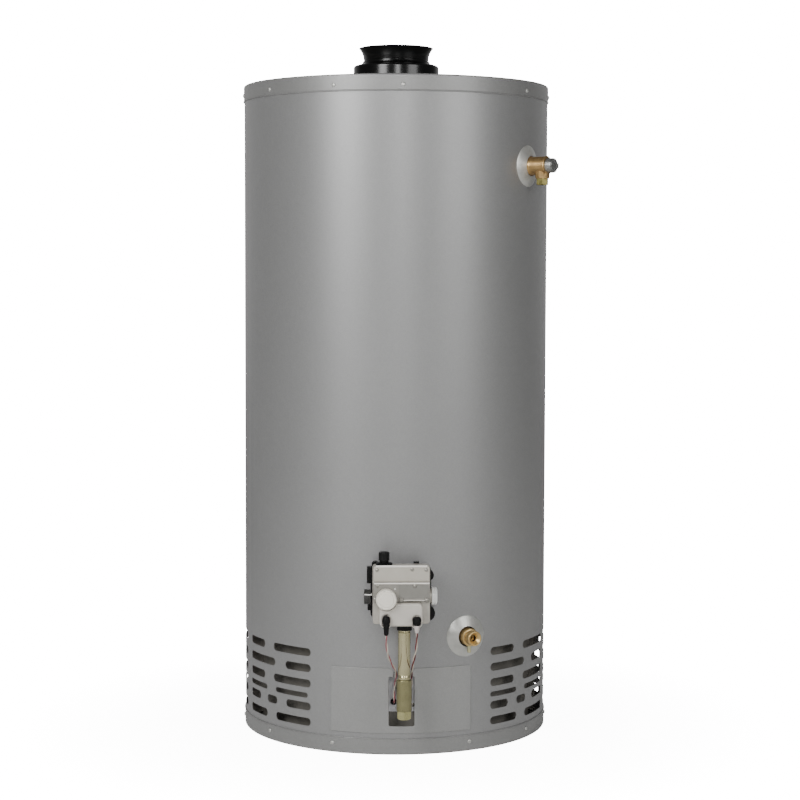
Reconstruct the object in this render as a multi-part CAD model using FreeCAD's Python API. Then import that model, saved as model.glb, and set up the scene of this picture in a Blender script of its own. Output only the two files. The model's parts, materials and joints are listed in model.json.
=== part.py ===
"""Gas-fired storage water heater with a 22 inch jacket, modelled in millimetres.

Frame: +Z up, the gas control faces -Y, and the origin is the centre of the base pan's underside.
Azimuths are degrees from the front, positive towards +X.
Each function from base_pan() on returns one node: the solids of one piece, or of a set of identical pieces.
Fittings are drawn in a face frame (x right, y up, z outward from the jacket) and put in place by mounted().
"""
import FreeCAD, Part
import math
import os

V = FreeCAD.Vector
ORIGIN = V(0, 0, 0)
UP = V(0, 0, 1)

# Casing
JACKET_R = 279.5
JACKET_T = 0.9
HEIGHT = 1181.0
PAN_T = 1.0
PAN_SKIRT = 29.6
PAN_CORNER = 3.5
BEAD = 0.9
SEAM_GAP = 0.15
JACKET_TOP_DROP = 7.0
SEAM_HALF_ANGLE = 0.9
SEAM_T = 0.8

# Tank, flue and insulation
TANK_R = 254.0
TANK_T = 2.6
TANK_BOTTOM = 178.0
TANK_TOP = HEIGHT - 69.0
HEAD_T = 3.2
TOP_RISE = 32.0
BOTTOM_RISE = 24.0
FLUE_R = 50.8
FLUE_T = 2.4
FLUE_LOW_DROP = 6.0
BAFFLE_T = 1.6
BAFFLE_SWING = 12.0
BAFFLE_WIDTH = 84.0
BAFFLE_BENDS = 22
FOAM_LOW = 186.0
TOP_PAD_T = 28.0
CLEAR = 0.1

# Louvres: (height above the floor, slot height, [(start, end) of each slot in degrees from the panel's edge])
LOUVRE_SLOT_H = 14.0
LOUVRE_THIN_H = 9.0
LOUVRE_ROWS = (
    (172.2, LOUVRE_SLOT_H, ((0.0, 12.4), (18.3, 37.2))),
    (143.8, LOUVRE_SLOT_H, ((0.0, 19.2), (25.1, 37.2))),
    (116.4, LOUVRE_SLOT_H, ((0.0, 12.4), (18.3, 37.2))),
    (95.2, LOUVRE_THIN_H, ((0.0, 14.0), (19.5, 35.9))),
    (75.4, LOUVRE_SLOT_H, ((0.0, 9.1), (14.2, 20.4), (25.5, 37.2))),
    (47.8, LOUVRE_SLOT_H, ((0.0, 14.2), (19.8, 37.2))),
)
LOUVRE_SPAN = 37.2
LOUVRE_FIRST_LEFT = 34.5
LOUVRE_FIRST_RIGHT = 34.9
LOUVRE_PITCH = 43.3
LOUVRE_PANELS_A_SIDE = 3

# Screws round the two pans
SCREW_R = 1.8
SCREW_HEAD_R = 3.6
SCREW_HEAD_H = 2.2
SCREW_LENGTH = 9.0
TOP_SCREW_DROP = 18.6
BASE_SCREW_Z = 17.3
TOP_SCREWS = (-145.0, -115.0, -85.0, -55.0, -25.0, 0.0, 53.0, 85.0, 115.0, 145.0, 180.0)
BASE_SCREW_FIRST = 25.5
BASE_SCREW_PITCH = 30.0
BASE_SCREWS_A_SIDE = 5

# Access doors
DOOR_HALF_ANGLE = 25.9
DOOR_LOW = 38.5
DOOR_HIGH = 153.5
DOOR_T = 1.1
DOOR_GAP = 0.7
DOOR_SLOT_HALF = 22.5
DOOR_SLOT_LOW = 51.2
DOOR_SLOT_HIGH = 138.5
DOOR_NECK_HALF = 16.0
DOOR_CORNER = 3.0
DOOR_FUNNEL = 9.0
DOOR_TONGUE_X = 78.0
DOOR_TONGUE_T = 1.2
DOOR_TONGUE_DEPTH = 9.0
DOOR_TONGUE_HALF_H = 22.0
JACKET_PORT_HALF = 19.0
JACKET_PORT_MARGIN = 4.0
SKIRT_T = 1.6
SKIRT_PORT_HALF = 14.0
SKIRT_PORT_LOW = 79.0
SKIRT_PORT_HIGH = 143.0
FINS = ((-75.15, 24.0), (75.15, 12.0))
FIN_T = 1.6
FIN_LOW = 32.0
FIN_HIGH = 186.0
AIR_NOTCHES = 8
AIR_NOTCH_W = 60.0
AIR_NOTCH_H = 18.0
INNER_DOOR_LOW = 72.0
INNER_DOOR_HIGH = 151.0
INNER_DOOR_HALF = 17.0
INNER_DOOR_T = 1.2
SIGHT_X = -42.0
SIGHT_Z = 112.0
SIGHT_R = 10.0
INNER_SCREW_LENGTH = 5.0
LEFT_GROMMET = (-12.8, 89.6)
RIGHT_GROMMET = (9.0, 86.0)
GROMMET_R = 5.6
GROMMET_BORE = 2.3
INNER_SCREWS = ((-68.0, 140.0), (68.0, 140.0), (-68.0, 84.0), (68.0, 84.0), (20.6, 83.5))

# Gas train
PIPE_X = 2.0
PIPE_OFF = 50.0
PIPE_R = 10.65
PIPE_BORE = 8.0
FIT_GAP = 0.05
NUT_LOW = 230.3
NUT_HIGH = 241.8
NUT_FLATS = 25.0
TEE_R = 13.3
TEE_LOW = 90.0
TEE_HIGH = 145.0
TEE_BRANCH_R = 12.8
TEE_BRANCH_BORE = 7.4
TEE_BRANCH_REACH = 22.0
MANIFOLD_Z = 115.0
PIPE_ENTRY = 14.0
PLUG_LOW = 75.4
PLUG_FLATS = 23.2
PLUG_SPIGOT = 9.0
PILOT_R = 3.2
PILOT_OFF = 26.0
PILOT_Z = 134.0
FLOOR_PLATE_Z = 24.0
FLOOR_PLATE_T = 1.2
ARRESTOR_R = 95.0
ARRESTOR_HOLE = 5.0
BURNER_R = 95.0
BURNER_Z = 132.0
BURNER_CAP_Z = 147.0
BURNER_PORTS = 24

# Gas control, in the face frame (x, y = height above the floor, z = distance out from the jacket)
VALVE_LEFT = -52.5
VALVE_RIGHT = 45.2
VALVE_LOW = 243.0
VALVE_HIGH = 342.6
VALVE_BACK = 14.0
VALVE_MID = 36.0
VALVE_FACE = 66.0
UPPER_COVER_T = 4.5
LEDGE_Z = 314.6
RIDGE_Z = 285.3
LABEL_COVER_T = 11.0
LOWER_COVER_T = 16.0
LOWER_LEFT = -42.0
LOWER_RIGHT = 32.0
LOWER_TOP = 281.0
LOWER_LOW = 241.2
DIAL_X = -30.5
DIAL_Z = 288.7
DIAL_R = 17.5
DIAL_T = 15.0
DIAL_FACE_R = 12.6
DIAL_SHAFT_R = 4.0
RUN_GAP = 0.1
LIFT_GAP = 0.4
KNOB_X = -33.0
KNOB_R = 9.3
KNOB_LOW = 350.8
KNOB_HIGH = 365.8
KNOB_TRAVEL = 3.0
SPINDLE_R = 4.0
COLLAR_R = 14.2
COLLAR_T = 4.6
INLET_Z = 287.7
INLET_OFF = 42.0
INLET_BOSS_R = 12.6
INLET_CAP_R = 15.5
INLET_CAP_OUT = 58.5
PORT_Z = 286.6
PORT_R = 12.7
PORT_OUT = -66.9
SHANK_R = 16.5
SHANK_Z = 292.0
PROBE_R = 6.0
PROBE_LENGTH = 190.0
LEFT_PLUG_X = -30.5
LEFT_PLUG_Z = 254.5
RIGHT_PLUG_X = 21.5
RIGHT_PLUG_Z = 252.6
PLUG_OFF = 89.5
LEAD_R = 1.8
COVER_SCREW_R = 3.1
UPPER_SCREWS = ((-45.5, 336.8), (14.2, 337.6), (38.0, 336.8))
LABEL_SCREWS = ((-45.0, 310.6), (18.5, 310.6))
LUG_SCREWS = ((-4.3, 286.2), (38.9, 286.0))
LUG_R = 4.4

# Relief valve and drain valve, in the face frame
SPUD_R = 20.0
SPUD_BORE = 13.2
SPUD_OUT = 18.0
NIPPLE_R = 13.1
NIPPLE_FREE_R = 13.3
NIPPLE_NECK_R = 12.5
NIPPLE_NECK = 2.0
RELIEF_AZIMUTH = 54.6
RELIEF_Z = HEIGHT - 151.0
RELIEF_R = 16.2
RELIEF_END = 40.0
RELIEF_CHAMBER_R = 12.0
RELIEF_SEAT = 17.0
OUTLET_OFF = 29.3
OUTLET_R = 12.4
OUTLET_DROP = 23.0
OUTLET_BORE = 9.5
BUSHING_FLATS = 20.6
BUSHING_DROP = 11.0
BUSHING_BORE = 7.5
CAP_R = 13.2
CAP_FACE = 51.9
LEVER_T = 1.3
LEVER_R = 12.6
LEVER_PIVOT = (15.4, 44.2)
LEVER_PIN_R = 1.2
STEM_R = 2.6
STEM_TRAVEL = 3.0
DISC_R = 7.8
SPRING_R = 5.6
SPRING_WIRE = 0.7
SPRING_TURNS = 7
DRAIN_AZIMUTH = 24.0
DRAIN_Z = 205.5
DRAIN_COLLAR_R = 15.3
DRAIN_COLLAR_END = 17.5
DRAIN_OUTLET_R = 13.2
DRAIN_END = 33.6
DRAIN_BORE = 5.3
DRAIN_SEAT_BORE = 3.6
DRAIN_MOUTH_R = 10.2
DRAIN_STEM_OFF = 12.5
DRAIN_STEM_R = 3.2
DRAIN_BOSS_R = 5.6
DRAIN_BOSS_END = 15.5
DRAIN_STEM_LOW = -27.5
DRAIN_WASHER_T = 2.0
DRAIN_WASHER_TOP = 4.0
DRAIN_TRAVEL = 7.5
ESCUTCHEON_R = 38.0
ESCUTCHEON_RISE = 6.0
ESCUTCHEON_HOLE = 18.2
ESCUTCHEON_T = 1.1

# Top fittings
NIPPLE_X = 101.6
NIPPLE_Y = 60.0
NIPPLE_TOP = HEIGHT + 22.0
NIPPLE_BORE = 10.4
ANODE_Y = 150.0
ANODE_R = 10.0
ANODE_LOW = 330.0
ANODE_HEX = 27.0
DIP_R = 9.5
DIP_T = 1.4
DIP_LOW = 260.0
COLLAR_BASE_R = 79.0
COLLAR_TOP = HEIGHT + 39.6
NECK_R = 59.4
NECK_Z = HEIGHT + 47.4
LIP_R = 68.3
LIP_Z = HEIGHT + 72.0
VENT_BORE = 51.6
VENT_SHEET = 1.5
VENT_BORE_LOW = HEIGHT + 11.0
VENT_BORE_HIGH = HEIGHT + 51.0

# Sizes worked out from the ones above
PAN_IN = JACKET_R + SEAM_GAP
PAN_OUT = PAN_IN + PAN_T
JACKET_LOW = PAN_CORNER + SEAM_GAP
JACKET_HIGH = HEIGHT - JACKET_TOP_DROP
TOP_SCREW_Z = HEIGHT - TOP_SCREW_DROP
TANK_IN = TANK_R - TANK_T
SHELL_HIGH = TANK_TOP + HEAD_T
TANK_OFF = TANK_R - JACKET_R
PIPE_Y = -(JACKET_R + PIPE_OFF)
PILOT_Y = -(JACKET_R + PILOT_OFF)
DOOR_IN = JACKET_R + DOOR_GAP
DOOR_OUT = DOOR_IN + DOOR_T
INNER_IN = TANK_R + CLEAR
INNER_OUT = INNER_IN + INNER_DOOR_T
LABEL_FACE = VALVE_FACE + LABEL_COVER_T
LOWER_FACE = VALVE_FACE + LOWER_COVER_T
UPPER_FACE = VALVE_FACE + UPPER_COVER_T
TOP_SPUD_HIGH = HEIGHT - 21.0
TOP_SPUD_LOW = TANK_TOP + TOP_RISE - 16.0


# ---------------------------------------------------------------- shape helpers
def cylinder(radius, low, high, x=0.0, y=0.0):
    """Upright round bar."""
    return Part.makeCylinder(radius, high - low, V(x, y, low))


def tube(outer, inner, low, high, x=0.0, y=0.0):
    """Upright round tube."""
    return cylinder(outer, low, high, x, y).cut(cylinder(inner, low, high, x, y))


def bar(radius, start, end):
    """Round bar between two points."""
    return Part.makeCylinder(radius, (end - start).Length, start, end - start)


def block(x0, x1, y0, y1, z0, z1):
    """Box between two corners."""
    return Part.makeBox(x1 - x0, y1 - y0, z1 - z0, V(x0, y0, z0))


def joined(first, *others):
    """One solid from touching or crossing solids."""
    return first.multiFuse(list(others)).removeSplitter()


def together(shapes):
    """Several separate solids as one node."""
    return Part.makeCompound(list(shapes))


def line(a, b):
    """Straight edge."""
    return Part.LineSegment(a, b).toShape()


def arc(a, through, b):
    """Round edge through three points."""
    return Part.Arc(a, through, b).toShape()


def rz(radius, height):
    """Point of a turned profile."""
    return V(radius, 0, height)


def turned_edges(edges):
    """Solid turned about Z from a closed outline of edges."""
    return Part.Face(Part.Wire(edges)).revolve(ORIGIN, UP, 360)


def turned(points):
    """Solid turned about Z from a closed outline of (radius, height) corners."""
    corners = [rz(*p) for p in points]
    return Part.Face(Part.makePolygon(corners + corners[:1])).revolve(ORIGIN, UP, 360)


def prism(points, low, high):
    """Upright prism over a closed outline of (x, y) corners."""
    corners = [V(x, y, low) for x, y in points]
    return Part.Face(Part.makePolygon(corners + corners[:1])).extrude(V(0, 0, high - low))


def hexagon(across_flats, low, high, x=0.0, y=0.0):
    """Upright hexagonal prism."""
    corner = across_flats / math.sqrt(3)
    turns = [math.radians(60 * i + 30) for i in range(6)]
    return prism([(x + corner * math.cos(t), y + corner * math.sin(t)) for t in turns], low, high)


def obround(width, height, depth):
    """Slot-shaped prism, centred on the origin, along Z."""
    r = height / 2
    run = width / 2 - r
    half = depth / 2
    edges = [
        line(V(-run, -r, -half), V(run, -r, -half)),
        arc(V(run, -r, -half), V(run + r, 0, -half), V(run, r, -half)),
        line(V(run, r, -half), V(-run, r, -half)),
        arc(V(-run, r, -half), V(-run - r, 0, -half), V(-run, -r, -half)),
    ]
    return Part.Face(Part.Wire(edges)).extrude(V(0, 0, depth))


def upright_edges(shape):
    """Straight edges that run along Z."""
    def along_z(edge):
        a, b = edge.Vertexes[0].Point, edge.Vertexes[-1].Point
        return abs(a.x - b.x) < 1e-6 and abs(a.y - b.y) < 1e-6 and abs(a.z - b.z) > 1e-6
    return [e for e in shape.Edges if len(e.Vertexes) == 2 and along_z(e)]


def face_edges(shape, height):
    """Edges that lie in the plane z = height."""
    return [e for e in shape.Edges if all(abs(v.Point.z - height) < 1e-6 for v in e.Vertexes)]


def softened(shape, corner, rim, top):
    """Block with rounded corners and a rounded rim on the face at z = top."""
    cornered = shape.makeFillet(corner, upright_edges(shape))
    return cornered.makeFillet(rim, face_edges(cornered, top))


def mounted(shape, azimuth=0.0, height=0.0):
    """Moves a shape from the face frame to its place on the jacket."""
    placed = shape.copy()
    placed.rotate(ORIGIN, V(1, 0, 0), 90)
    placed.translate(V(0, -JACKET_R, height))
    placed.rotate(ORIGIN, UP, azimuth)
    return placed


def curved_plate(inner, outer, half_angle, low, high, azimuth=0.0):
    """Part of a round shell, centred on an azimuth."""
    wedge = Part.makeCylinder(outer, high - low, V(0, 0, low), UP, 2 * half_angle)
    wedge.rotate(ORIGIN, UP, azimuth - 90 - half_angle)
    return wedge.cut(cylinder(inner, low, high))


def bent_tube(points, radius, label):
    """Round tube along straight runs joined by arcs as large as the runs allow."""
    edges = []
    start = points[0]
    radii = []
    for before, corner, after in zip(points, points[1:], points[2:]):
        ahead = (corner - before).normalize()
        away = (after - corner).normalize()
        turn = ahead.getAngle(away)
        reach = 0.45 * min((corner - before).Length, (after - corner).Length)
        bend = reach / math.tan(turn / 2)
        side = (away - ahead * ahead.dot(away)).normalize()
        enter = corner - ahead * reach
        leave = corner + away * reach
        centre = enter + side * bend
        middle = centre + (corner - centre).normalize() * bend
        edges += [line(start, enter), arc(enter, middle, leave)]
        radii.append(bend)
        start = leave
    edges.append(line(start, points[-1]))
    path = Part.Wire(edges)
    ring = Part.Wire(Part.makeCircle(radius, points[0], points[1] - points[0]))
    solid = path.makePipeShell([ring], True, False)
    expected = path.Length * math.pi * radius ** 2
    print(label, "bend radii", [round(r, 1) for r in radii], "volume ratio", round(solid.Volume / expected, 4))
    return solid


def screw(head_r, head_h, shank_r, length, seat):
    """Round-headed screw pointing inwards, its head's underside at z = seat."""
    top = seat + head_h
    dome = [
        line(rz(0, seat), rz(head_r, seat)),
        line(rz(head_r, seat), rz(head_r, seat + head_h * 0.35)),
        arc(rz(head_r, seat + head_h * 0.35), rz(head_r * 0.74, seat + head_h * 0.82), rz(head_r * 0.3, top)),
        line(rz(head_r * 0.3, top), rz(0, top)),
        line(rz(0, top), rz(0, seat)),
    ]
    return joined(turned_edges(dome), cylinder(shank_r, seat - length, seat))


# ---------------------------------------------------------------- casing
def pan_outline():
    """Sheet pan with a rounded corner and a rolled bead round the rim, floor down."""
    r, c, t = PAN_OUT, PAN_CORNER, PAN_T
    out_mid = math.sqrt(0.5) * c
    in_mid = math.sqrt(0.5) * (c - t)
    rim = PAN_SKIRT
    return [
        line(rz(0, 0), rz(r - c, 0)),
        arc(rz(r - c, 0), rz(r - c + out_mid, c - out_mid), rz(r, c)),
        line(rz(r, c), rz(r, rim - 2 * BEAD)),
        arc(rz(r, rim - 2 * BEAD), rz(r + BEAD, rim - BEAD), rz(r, rim)),
        line(rz(r, rim), rz(r - t, rim)),
        line(rz(r - t, rim), rz(r - t, c)),
        arc(rz(r - t, c), rz(r - c + in_mid, c - in_mid), rz(r - c, t)),
        line(rz(r - c, t), rz(0, t)),
        line(rz(0, t), rz(0, 0)),
    ]


def base_screw_azimuths():
    """Places of the base pan's screws."""
    steps = range(BASE_SCREWS_A_SIDE)
    return [s * (BASE_SCREW_FIRST + BASE_SCREW_PITCH * i) for i in steps for s in (-1, 1)]


def screw_holes(azimuths, height):
    """Clearance bars for the pan screws."""
    drill = cylinder(SCREW_R + FIT_GAP, -SCREW_LENGTH, SCREW_LENGTH)
    return [mounted(drill, a, height) for a in azimuths]


def base_pan():
    """Shallow steel pan that the heater stands in."""
    return turned_edges(pan_outline()).cut(screw_holes(base_screw_azimuths(), BASE_SCREW_Z))


def top_pan():
    """Lid pan with holes for the flue, the two nipples and the anode."""
    lid = turned_edges(pan_outline())
    lid.rotate(ORIGIN, V(1, 0, 0), 180)
    lid.translate(V(0, 0, HEIGHT))
    low, high = HEIGHT - 2 * PAN_CORNER, HEIGHT + 1
    ports = [cylinder(FLUE_R + 3, low, high)]
    ports += [cylinder(NIPPLE_R + 2.5, low, high, x, NIPPLE_Y) for x in (-NIPPLE_X, NIPPLE_X)]
    ports.append(cylinder(ANODE_HEX * 0.5 + 5, low, high, 0, ANODE_Y))
    return lid.cut(ports + screw_holes(TOP_SCREWS, TOP_SCREW_Z))


def pan_screws(azimuths, height):
    """Sheet metal screws through a pan's skirt and the jacket."""
    one = screw(SCREW_HEAD_R, SCREW_HEAD_H, SCREW_R, SCREW_LENGTH, PAN_OUT - JACKET_R)
    return together(mounted(one, a, height) for a in azimuths)


def louvre_cutters():
    """One cutter for each air slot round the foot of the jacket."""
    left = [-LOUVRE_FIRST_LEFT - LOUVRE_SPAN - LOUVRE_PITCH * i for i in range(LOUVRE_PANELS_A_SIDE)]
    right = [LOUVRE_FIRST_RIGHT + LOUVRE_PITCH * i for i in range(LOUVRE_PANELS_A_SIDE)]
    cutters = []
    for panel in left + right:
        for height, slot_h, slots in LOUVRE_ROWS:
            for start, end in slots:
                width = 2 * JACKET_R * math.sin(math.radians(end - start) / 2)
                cutters.append(mounted(obround(width, slot_h, 24), panel + (start + end) / 2, height))
    return cutters


def outer_jacket():
    """Painted sheet steel shell with its back seam, louvres and ports."""
    shell = tube(JACKET_R, JACKET_R - JACKET_T, JACKET_LOW, JACKET_HIGH)
    seam_low = PAN_SKIRT + 2
    seam_high = HEIGHT - PAN_SKIRT - 2
    seam = curved_plate(JACKET_R, JACKET_R + SEAM_T, SEAM_HALF_ANGLE, seam_low, seam_high, 180)
    shell = joined(shell, seam)
    ports = [
        mounted(cylinder(SPUD_R + 1, -12, 12), RELIEF_AZIMUTH, RELIEF_Z),
        mounted(cylinder(SPUD_R + 1, -12, 12), DRAIN_AZIMUTH, DRAIN_Z),
        mounted(cylinder(SHANK_R + 5, -12, 12), 0, SHANK_Z),
        curved_plate(
            JACKET_R - 20, JACKET_R + 5, JACKET_PORT_HALF,
            DOOR_SLOT_LOW - JACKET_PORT_MARGIN, DOOR_HIGH - 2 * JACKET_PORT_MARGIN,
        ),
    ]
    shell = shell.cut(louvre_cutters())
    holes = screw_holes(base_screw_azimuths(), BASE_SCREW_Z) + screw_holes(TOP_SCREWS, TOP_SCREW_Z)
    return shell.cut(ports + holes)


def outer_door():
    """Curved push-on door whose slot clears the gas train, with two spring tongues behind it."""
    plate = curved_plate(DOOR_IN, DOOR_OUT, DOOR_HALF_ANGLE, DOOR_LOW, DOOR_HIGH)
    reach = 30
    slot = block(-DOOR_SLOT_HALF, DOOR_SLOT_HALF, DOOR_SLOT_LOW, DOOR_SLOT_HIGH, -reach, reach)
    slot = slot.makeFillet(DOOR_CORNER, upright_edges(slot))
    left, right = PIPE_X - DOOR_NECK_HALF, PIPE_X + DOOR_NECK_HALF
    low, top, f = DOOR_SLOT_HIGH - DOOR_CORNER - 1, DOOR_HIGH, DOOR_FUNNEL
    dip = f * (1 - math.sqrt(0.5))
    neck_edges = [
        line(V(left, low, -reach), V(right, low, -reach)),
        line(V(right, low, -reach), V(right, top - f, -reach)),
        arc(V(right, top - f, -reach), V(right + dip, top - dip, -reach), V(right + f, top, -reach)),
        line(V(right + f, top, -reach), V(right + f, top + 1, -reach)),
        line(V(right + f, top + 1, -reach), V(left - f, top + 1, -reach)),
        line(V(left - f, top + 1, -reach), V(left - f, top, -reach)),
        arc(V(left - f, top, -reach), V(left - dip, top - dip, -reach), V(left, top - f, -reach)),
        line(V(left, top - f, -reach), V(left, low, -reach)),
    ]
    neck = Part.Face(Part.Wire(neck_edges)).extrude(V(0, 0, 2 * reach))
    plate = plate.cut([mounted(slot), mounted(neck)])
    middle = (DOOR_LOW + DOOR_HIGH) / 2
    fall = JACKET_R - math.sqrt(DOOR_IN ** 2 - DOOR_TONGUE_X ** 2)
    tongues = []
    for side in (-1, 1):
        inner = side * DOOR_TONGUE_X - DOOR_TONGUE_T / 2
        tongue = block(
            inner, inner + DOOR_TONGUE_T, middle - DOOR_TONGUE_HALF_H, middle + DOOR_TONGUE_HALF_H,
            -fall - DOOR_TONGUE_DEPTH, -fall + DOOR_T / 2,
        )
        tongues.append(mounted(tongue))
    return joined(plate, *tongues)


# ---------------------------------------------------------------- tank and insulation
def tank_ports(radius):
    """Cutters for the three radial fittings: relief valve, drain valve and gas control."""
    drill = cylinder(radius, -45, 0)
    return [
        mounted(drill, RELIEF_AZIMUTH, RELIEF_Z),
        mounted(drill, DRAIN_AZIMUTH, DRAIN_Z),
        mounted(drill, 0, SHANK_Z),
    ]


def top_places():
    """Places of the fittings on the tank's top head."""
    return [(-NIPPLE_X, NIPPLE_Y), (NIPPLE_X, NIPPLE_Y), (0.0, ANODE_Y)]


def tank_shell():
    """Rolled tank wall."""
    return tube(TANK_R, TANK_IN, TANK_BOTTOM, SHELL_HIGH).cut(tank_ports(SPUD_R))


def head_outline(edge_z, rise):
    """Dished plate between the tank wall and the flue."""
    edge_r, flue_r = TANK_IN - CLEAR, FLUE_R + CLEAR
    mid_r = (edge_r + flue_r) / 2
    mid_z = edge_z + rise * 0.74
    t = HEAD_T
    return [
        arc(rz(edge_r, edge_z), rz(mid_r, mid_z), rz(flue_r, edge_z + rise)),
        line(rz(flue_r, edge_z + rise), rz(flue_r, edge_z + rise - t)),
        arc(rz(flue_r, edge_z + rise - t), rz(mid_r, mid_z - t), rz(edge_r, edge_z - t)),
        line(rz(edge_r, edge_z - t), rz(edge_r, edge_z)),
    ]


def tank_top_head():
    """Dished top of the tank."""
    head = turned_edges(head_outline(TANK_TOP, TOP_RISE))
    return head.cut([cylinder(SPUD_R, TANK_TOP, HEIGHT, x, y) for x, y in top_places()])


def tank_bottom_head():
    """Dished bottom of the tank, over the burner."""
    return turned_edges(head_outline(TANK_BOTTOM + HEAD_T, BOTTOM_RISE))


def flue_tube():
    """Flue through the middle of the tank."""
    low = TANK_BOTTOM + BOTTOM_RISE - FLUE_LOW_DROP
    return tube(FLUE_R, FLUE_R - FLUE_T, low, VENT_BORE_LOW - 2)


def flue_baffle():
    """Zigzag strip that slows the flue gas."""
    low = TANK_BOTTOM + BOTTOM_RISE + 12
    high = TANK_TOP + 12
    step = (high - low) / BAFFLE_BENDS
    front = []
    for i in range(BAFFLE_BENDS + 1):
        swing = BAFFLE_SWING if i % 2 else -BAFFLE_SWING
        front.append((swing, low + step * i))
    back = [(x + BAFFLE_T, z) for x, z in reversed(front)]
    corners = [V(x, -BAFFLE_WIDTH / 2, z) for x, z in front + back]
    return Part.Face(Part.makePolygon(corners + corners[:1])).extrude(V(0, BAFFLE_WIDTH, 0))


def tank_spuds():
    """Welded sockets: three in the wall and three in the top head."""
    radial = cylinder(SPUD_R, TANK_OFF - 6, TANK_OFF + SPUD_OUT)
    radial = radial.cut(cylinder(SPUD_BORE, TANK_OFF - 7, TANK_OFF + SPUD_OUT + 1))
    shank_socket = cylinder(SPUD_R, TANK_OFF - 6, TANK_OFF + SPUD_OUT)
    shank_socket = shank_socket.cut(cylinder(SHANK_R + FIT_GAP, TANK_OFF - 7, TANK_OFF + SPUD_OUT + 1))
    spuds = [
        mounted(radial, RELIEF_AZIMUTH, RELIEF_Z),
        mounted(radial, DRAIN_AZIMUTH, DRAIN_Z),
        mounted(shank_socket, 0, SHANK_Z),
    ]
    spuds += [tube(SPUD_R, SPUD_BORE, TOP_SPUD_LOW, TOP_SPUD_HIGH, x, y) for x, y in top_places()]
    return together(spuds)


def foam_insulation():
    """Foam between the tank and the jacket."""
    high = HEIGHT - TOP_PAD_T - 5
    ring = tube(JACKET_R - JACKET_T - CLEAR, TANK_R + CLEAR, FOAM_LOW, high)
    drill = cylinder(SPUD_R + 1, -45, 5)
    wide = cylinder(SHANK_R + 6, -45, 5)
    return ring.cut([
        mounted(drill, RELIEF_AZIMUTH, RELIEF_Z),
        mounted(drill, DRAIN_AZIMUTH, DRAIN_Z),
        mounted(wide, 0, SHANK_Z),
    ])


def top_insulation():
    """Insulating pad between the tank's top head and the lid."""
    high = HEIGHT - PAN_CORNER - 0.5
    low = high - TOP_PAD_T
    pad = tube(JACKET_R - SCREW_LENGTH, FLUE_R + 4, low, high)
    return pad.cut([cylinder(SPUD_R + 1, low - 1, high + 1, x, y) for x, y in top_places()])


def water_nipples():
    """Cold inlet and hot outlet: 3/4 inch pipe nipples with a free end above the lid."""
    free_low = HEIGHT + 3
    pair = []
    for x in (-NIPPLE_X, NIPPLE_X):
        held = cylinder(NIPPLE_R, TOP_SPUD_LOW - 6, free_low - NIPPLE_NECK, x, NIPPLE_Y)
        neck = cylinder(NIPPLE_NECK_R, free_low - NIPPLE_NECK, free_low, x, NIPPLE_Y)
        free = cylinder(NIPPLE_FREE_R, free_low, NIPPLE_TOP, x, NIPPLE_Y)
        free = free.makeChamfer(1.0, face_edges(free, NIPPLE_TOP))
        bore = cylinder(NIPPLE_BORE, TOP_SPUD_LOW - 7, NIPPLE_TOP + 1, x, NIPPLE_Y)
        pair.append(joined(held, neck, free).cut(bore))
    return together(pair)


def dip_tube():
    """Plastic tube that takes the cold water down to the bottom of the tank."""
    high = NIPPLE_TOP - 4
    body = tube(DIP_R, DIP_R - DIP_T, DIP_LOW, high, NIPPLE_X, NIPPLE_Y)
    flange = tube(NIPPLE_BORE - FIT_GAP, DIP_R - DIP_T, high - 3, high, NIPPLE_X, NIPPLE_Y)
    return joined(body, flange)


def anode_rod():
    """Sacrificial rod under a hexagonal head."""
    rod = cylinder(ANODE_R, ANODE_LOW, TOP_SPUD_HIGH, 0, ANODE_Y)
    thread = cylinder(SPUD_BORE - CLEAR, TOP_SPUD_LOW, TOP_SPUD_HIGH, 0, ANODE_Y)
    head = hexagon(ANODE_HEX, TOP_SPUD_HIGH, HEIGHT + 4, 0, ANODE_Y)
    return joined(rod, thread, head)


# ---------------------------------------------------------------- vent
def vent_collar():
    """Stepped sheet collar that stands on the lid round the flue."""
    r, t = COLLAR_BASE_R, VENT_SHEET
    top, neck, shoulder = COLLAR_TOP, NECK_R + 0.4, 3.0
    low = HEIGHT
    s = shoulder * (1 - math.sqrt(0.5))
    edges = [
        line(rz(r, low), rz(r, top - shoulder)),
        arc(rz(r, top - shoulder), rz(r - s, top - s), rz(r - shoulder, top)),
        line(rz(r - shoulder, top), rz(neck + t, NECK_Z - 2)),
        line(rz(neck + t, NECK_Z - 2), rz(neck + t, NECK_Z)),
        line(rz(neck + t, NECK_Z), rz(neck, NECK_Z)),
        line(rz(neck, NECK_Z), rz(neck, NECK_Z - 2 - t)),
        line(rz(neck, NECK_Z - 2 - t), rz(r - shoulder - t, top - t)),
        line(rz(r - shoulder - t, top - t), rz(r - t, top - shoulder - t)),
        line(rz(r - t, top - shoulder - t), rz(r - t, low)),
        line(rz(r - t, low), rz(r, low)),
    ]
    return turned_edges(edges)


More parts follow.
